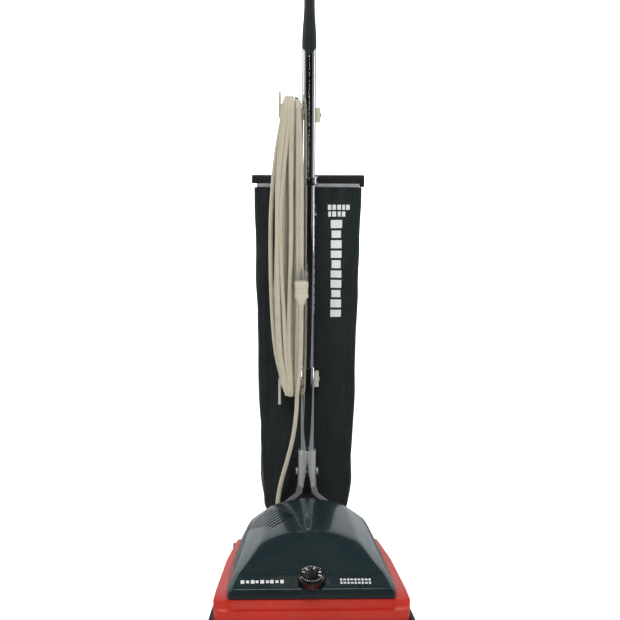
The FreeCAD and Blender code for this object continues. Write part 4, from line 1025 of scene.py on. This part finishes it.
def grip_rings():
    rings = []
    for along, shrink in grip_steps():
        y, z, lean = grip_line(along)
        ease = min(1, max(0, along - 20) / 70)
        wide = MOUTH + (WAIST - MOUTH) * ease * ease * (3 - 2 * ease)
        deep = DEEP + 0.5 * ease
        ring = []
        for k in range(32):
            c, s = math.cos(2 * math.pi * k / 32), math.sin(2 * math.pi * k / 32)
            ribbed = along > GRIP_STRAIGHT + 20 and s < -0.2
            rib = 0.8 * math.sin(along / 3.1) if ribbed else 0.0
            x, depth = wide * shrink * c, (deep * shrink + rib) * s
            # the mouth is cut to a V: the further from the middle, the higher it starts
            rise = 1.05 * abs(x) * max(0, 1 - along / 20)
            ring.append(Vector((x, y + depth * math.cos(lean), z + rise - depth * math.sin(lean))) * MM)
        rings.append(ring)
    return rings


ferrule_rings = [rounded_ring(0, TUBE_Y, z, r, r, 2, 48) for z, r in ((966.9, 12.6), (967, 12.7), (992, 12.7))]
ferrule = lofted("tube_end", ferrule_rings)
smooth(ferrule, 40)
dress(ferrule, CHROME, "handle", "chrome_tube")
grip = modify(lofted("grip_moulding", grip_rings()), "SUBSURF", levels=1, render_levels=1)
smooth(grip, 50)
dress(grip, GRIP, "handle", "dark_grip", "handle_grip")
print("grip:", len(grip.data.polygons), "faces")

# %% [markdown]
# ## The bag
# A closed bag of coated cloth hangs between the top bar and the hood: nearly flat in front, full at the
# back, a little slack low down. It could be pressed out by a cloth simulation. Here the rings are shaped,
# divided and then moved along their normals, because the folds have to fall where the bag is held, and the
# front has to stay clear of the tube.

# %% Bag shell
# height, half width, back, corner radius
BAG_LEVELS = [(107.6, 73, 156, 13), (110, 76, 161, 14), (122, 78.5, 172, 17), (165, 84, 205, 24),
              (245, 87.5, 226, 29), (330, 90.5, 237, 31), (420, 92.5, 237.4, 31), (510, 94, 235.5, 30),
              (600, 96, 223, 26), (680, 98, 203, 20), (715, 98.6, 176, 12), (731.5, 98.8, 150.5, 6)]
BAG_FRONT, BAG_FRONT_CORNER = 128.6, 6


def bag_ring(z, half, back, corner):
    """A slice, corner by corner: each corner is an arc, followed by the points of the side after it."""
    corners = ((half, back, corner, 0), (-half, back, corner, 90),
               (-half, BAG_FRONT, BAG_FRONT_CORNER, 180), (half, BAG_FRONT, BAG_FRONT_CORNER, 270))
    sides = {0: [(half * t, back) for t in (0.45, 0.15, -0.15, -0.45)],
             90: [(-half, BAG_FRONT + (back - BAG_FRONT) * t) for t in (0.6, 0.35)],
             180: [(half * t, BAG_FRONT) for t in (-0.8, -0.6, -0.4, -0.2, 0.0, 0.2, 0.4, 0.6, 0.8)],
             270: [(half, BAG_FRONT + (back - BAG_FRONT) * t) for t in (0.35, 0.6)]}
    points = []
    for x, y, radius, start in corners:
        middle_x, middle_y = x - math.copysign(radius, x), y - (radius if start < 180 else -radius)
        for k in range(6):
            angle = math.radians(start + 90 * k / 5)
            points.append((middle_x + radius * math.cos(angle), middle_y + radius * math.sin(angle)))
        points += sides[start]
    return [Vector((x, y, z)) * MM for x, y in points]


def slack(x, y, z):
    """How far the cloth stands out at a place, all in millimetres."""
    low = max(0, 1 - abs(z - 200) / 160)
    high = max(0, 1 - (732 - z) / 90)
    seed = Vector((x * 0.016, y * 0.012, z * 0.0075))
    broad = 2.2 * noise.noise(seed) + 1.5 * noise.noise(seed * 2.3 + Vector((4, 1, 7)))
    creases = low * 1.8 * noise.noise(Vector((x * 0.035 + z * 0.012, y * 0.02, z * 0.03)))
    gathers = high * 1.2 * math.sin(x * 0.22 + 2 * noise.noise(Vector((x * 0.03, 0, 3))))
    across_x = x * (0.9 if x > 0 else -0.7)
    fold = math.sin(0.05 * (across_x + 0.62 * z) + 3 * noise.noise(seed * 1.3))
    return broad + creases + gathers + 1.7 * low * fold + 0.8 * fold


def make_bag():
    bag = lofted("cloth_bag", [bag_ring(*row) for row in eased(BAG_LEVELS, 56)])
    modify(bag, "SUBSURF", levels=2, render_levels=2)
    outward = [v.normal.copy() for v in bag.data.vertices]
    for v, normal in zip(bag.data.vertices, outward):
        x, y, z = v.co / MM
        push = slack(x, y, z)
        # the ends are held, and the front only ever moves back, away from the tube
        held = min(1, max(0, (z - 108) / 12)) * min(1, max(0, (731 - z) / 10))
        facing = min(1, max(0, (BAG_FRONT + 9 - y) / 8))
        move = (1 - facing) * 0.8 * push + facing * min(0.0, 1.3 * push - 1.8)
        v.co = v.co + normal * move * held * MM
    bag.data.update()
    return smooth(bag, 180)


bag = make_bag()
dress(bag, CLOTH, "handle", "black_cloth", "bag")
print("bag:", len(bag.data.polygons), "faces")

# %% [markdown]
# The bag is sewn: a folded seam runs down each front edge and a patch is stitched on low down; the hem
# that turns under the top bar is not built. Seams could be lines in the material, but a raised tape and real
# stitches still show from the side.

# %% Seams down the front edges


TAPE_MIDDLE, TAPE_LENGTH = 420, 612


def front_edge(z):
    """Half width of the bag at a height."""
    for (low, a, *_), (high, b, *_) in zip(BAG_LEVELS, BAG_LEVELS[1:]):
        if z <= high:
            return a + (b - a) * (z - low) / (high - low)
    return BAG_LEVELS[-1][1]


def edge_tape(side):
    """A turned edge sewn down the front: a narrow grid set along the edge, laid on the bag and thickened."""
    deselect()
    bpy.ops.mesh.primitive_grid_add(x_subdivisions=3, y_subdivisions=70, size=1)
    tape = bpy.context.object
    for v in tape.data.vertices:
        z = TAPE_MIDDLE + TAPE_LENGTH * v.co.y
        v.co = Vector((side * (front_edge(z) - 14 + 5 * v.co.x), BAG_FRONT - 0.5, z)) * MM
    modify(tape, "SHRINKWRAP", target=bag, wrap_method="PROJECT", use_project_x=False, use_project_y=True,
           use_project_z=False, use_positive_direction=True, use_negative_direction=True, offset=0.2 * MM)
    modify(tape, "SOLIDIFY", thickness=0.9 * MM, offset=0)
    return bevelled(tape, 0.3 * MM)


seam = smooth(join([edge_tape(side) for side in (-1, 1)], "bag_seams"), 50)
dress(seam, CLOTH, "handle", "black_cloth")
print("seams:", len(seam.data.polygons), "faces")

# %% [markdown]
# The patch is a thick block laid on the cloth like the prints, with a row of real stitches just inside its
# edge. The print beside the tube is a heading of small blocks over a column of larger ones.

# %% Patch, stitches and print


def stitches(name, line, length=3.2, gap=2.0, wide=0.7):
    """Short rounded stitches along a line of points, all in millimetres."""
    places = []
    for first, second in zip(line, line[1:]):
        start, end = Vector(first), Vector(second)
        way = (end - start).normalized()
        turn = way.to_track_quat("X", "Y").to_matrix().to_4x4()
        for k in range(int((end - start).length / (length + gap))):
            places.append(Matrix.Translation((start + way * (k + 0.5) * (length + gap)) * MM) @ turn)
    return repeated(stroke(length * MM, wide * MM, 0.7 * MM), places, name)


THREAD = matte("black_thread", (0.045, 0.055, 0.056), (0.09, 0.10, 0.10), 0.6, 2500, 0.0001)
PATCH_LEFT, PATCH_RIGHT, PATCH_LOW, PATCH_HIGH = -44, 36, 214, 283
INSET = 2.5
UPRIGHT = Matrix.Translation(Vector((0, BAG_FRONT - 0.5, 0)) * MM) @ Matrix.Rotation(math.pi / 2, 4, "X")
patch_block = ((PATCH_LEFT + PATCH_RIGHT) / 2, (PATCH_LOW + PATCH_HIGH) / 2,
               PATCH_RIGHT - PATCH_LEFT, PATCH_HIGH - PATCH_LOW)
patch = print_on(bag, "bag_patch", [patch_block], UPRIGHT, 0.9 * MM)
dress(patch, CLOTH, "handle", "black_cloth")
left, right, low, high = PATCH_LEFT + INSET, PATCH_RIGHT - INSET, PATCH_LOW + INSET, PATCH_HIGH - INSET
corners = [(left, high), (right, high), (right, low), (left, low), (left, high)]
patch_thread = stitches("patch_thread", [(x, BAG_FRONT - 1.3, z) for x, z in corners])
dress(patch_thread, THREAD, "handle", "black_cloth")

column = [(52.5, 664 - 18.6 * k, 20 - 3 * (k % 3 == 1), 15 - 1.5 * (k % 2)) for k in range(10)]
heading = [(40 + 8.4 * k, 695 - 12.5 * row, 6.8 - 1.2 * ((k + row) % 2), 9.5)
           for row in (0, 1) for k in range(5 - row)]
bag_print = print_on(bag, "bag_print", heading + column, UPRIGHT, 0.35 * MM)
dress(bag_print, WHITE_INK, "handle", "black_cloth")
print("bag print:", len(heading) + len(column), "blocks")

# %% [markdown]
# ## Everything else
# The parts that keep their fixed shape still get a finish, chosen by the slot that the record gives them.

# %% Finishes for the fixed parts
BY_SLOT = {"red_shell": RED, "grey_shell": HOOD, "black_rubber": RUBBER, "steel": STEEL, "black_plastic": DUCT,
           "black_gloss": KNOB, "iron": IRON, "brass_bush": BRASS, "chrome_tube": CHROME, "dark_grip": GRIP,
           "cream_plastic": CREAM, "black_cloth": CLOTH, "beige_cord": JACKET, "alloy": ALLOY, "roll_wood": WOOD,
           "bristle": BRISTLE}
for name, obj in nodes.items():
    obj.data.materials.clear()
    obj.data.materials.append(BY_SLOT[slot_with[name]])
print("finished parts:", len(nodes))
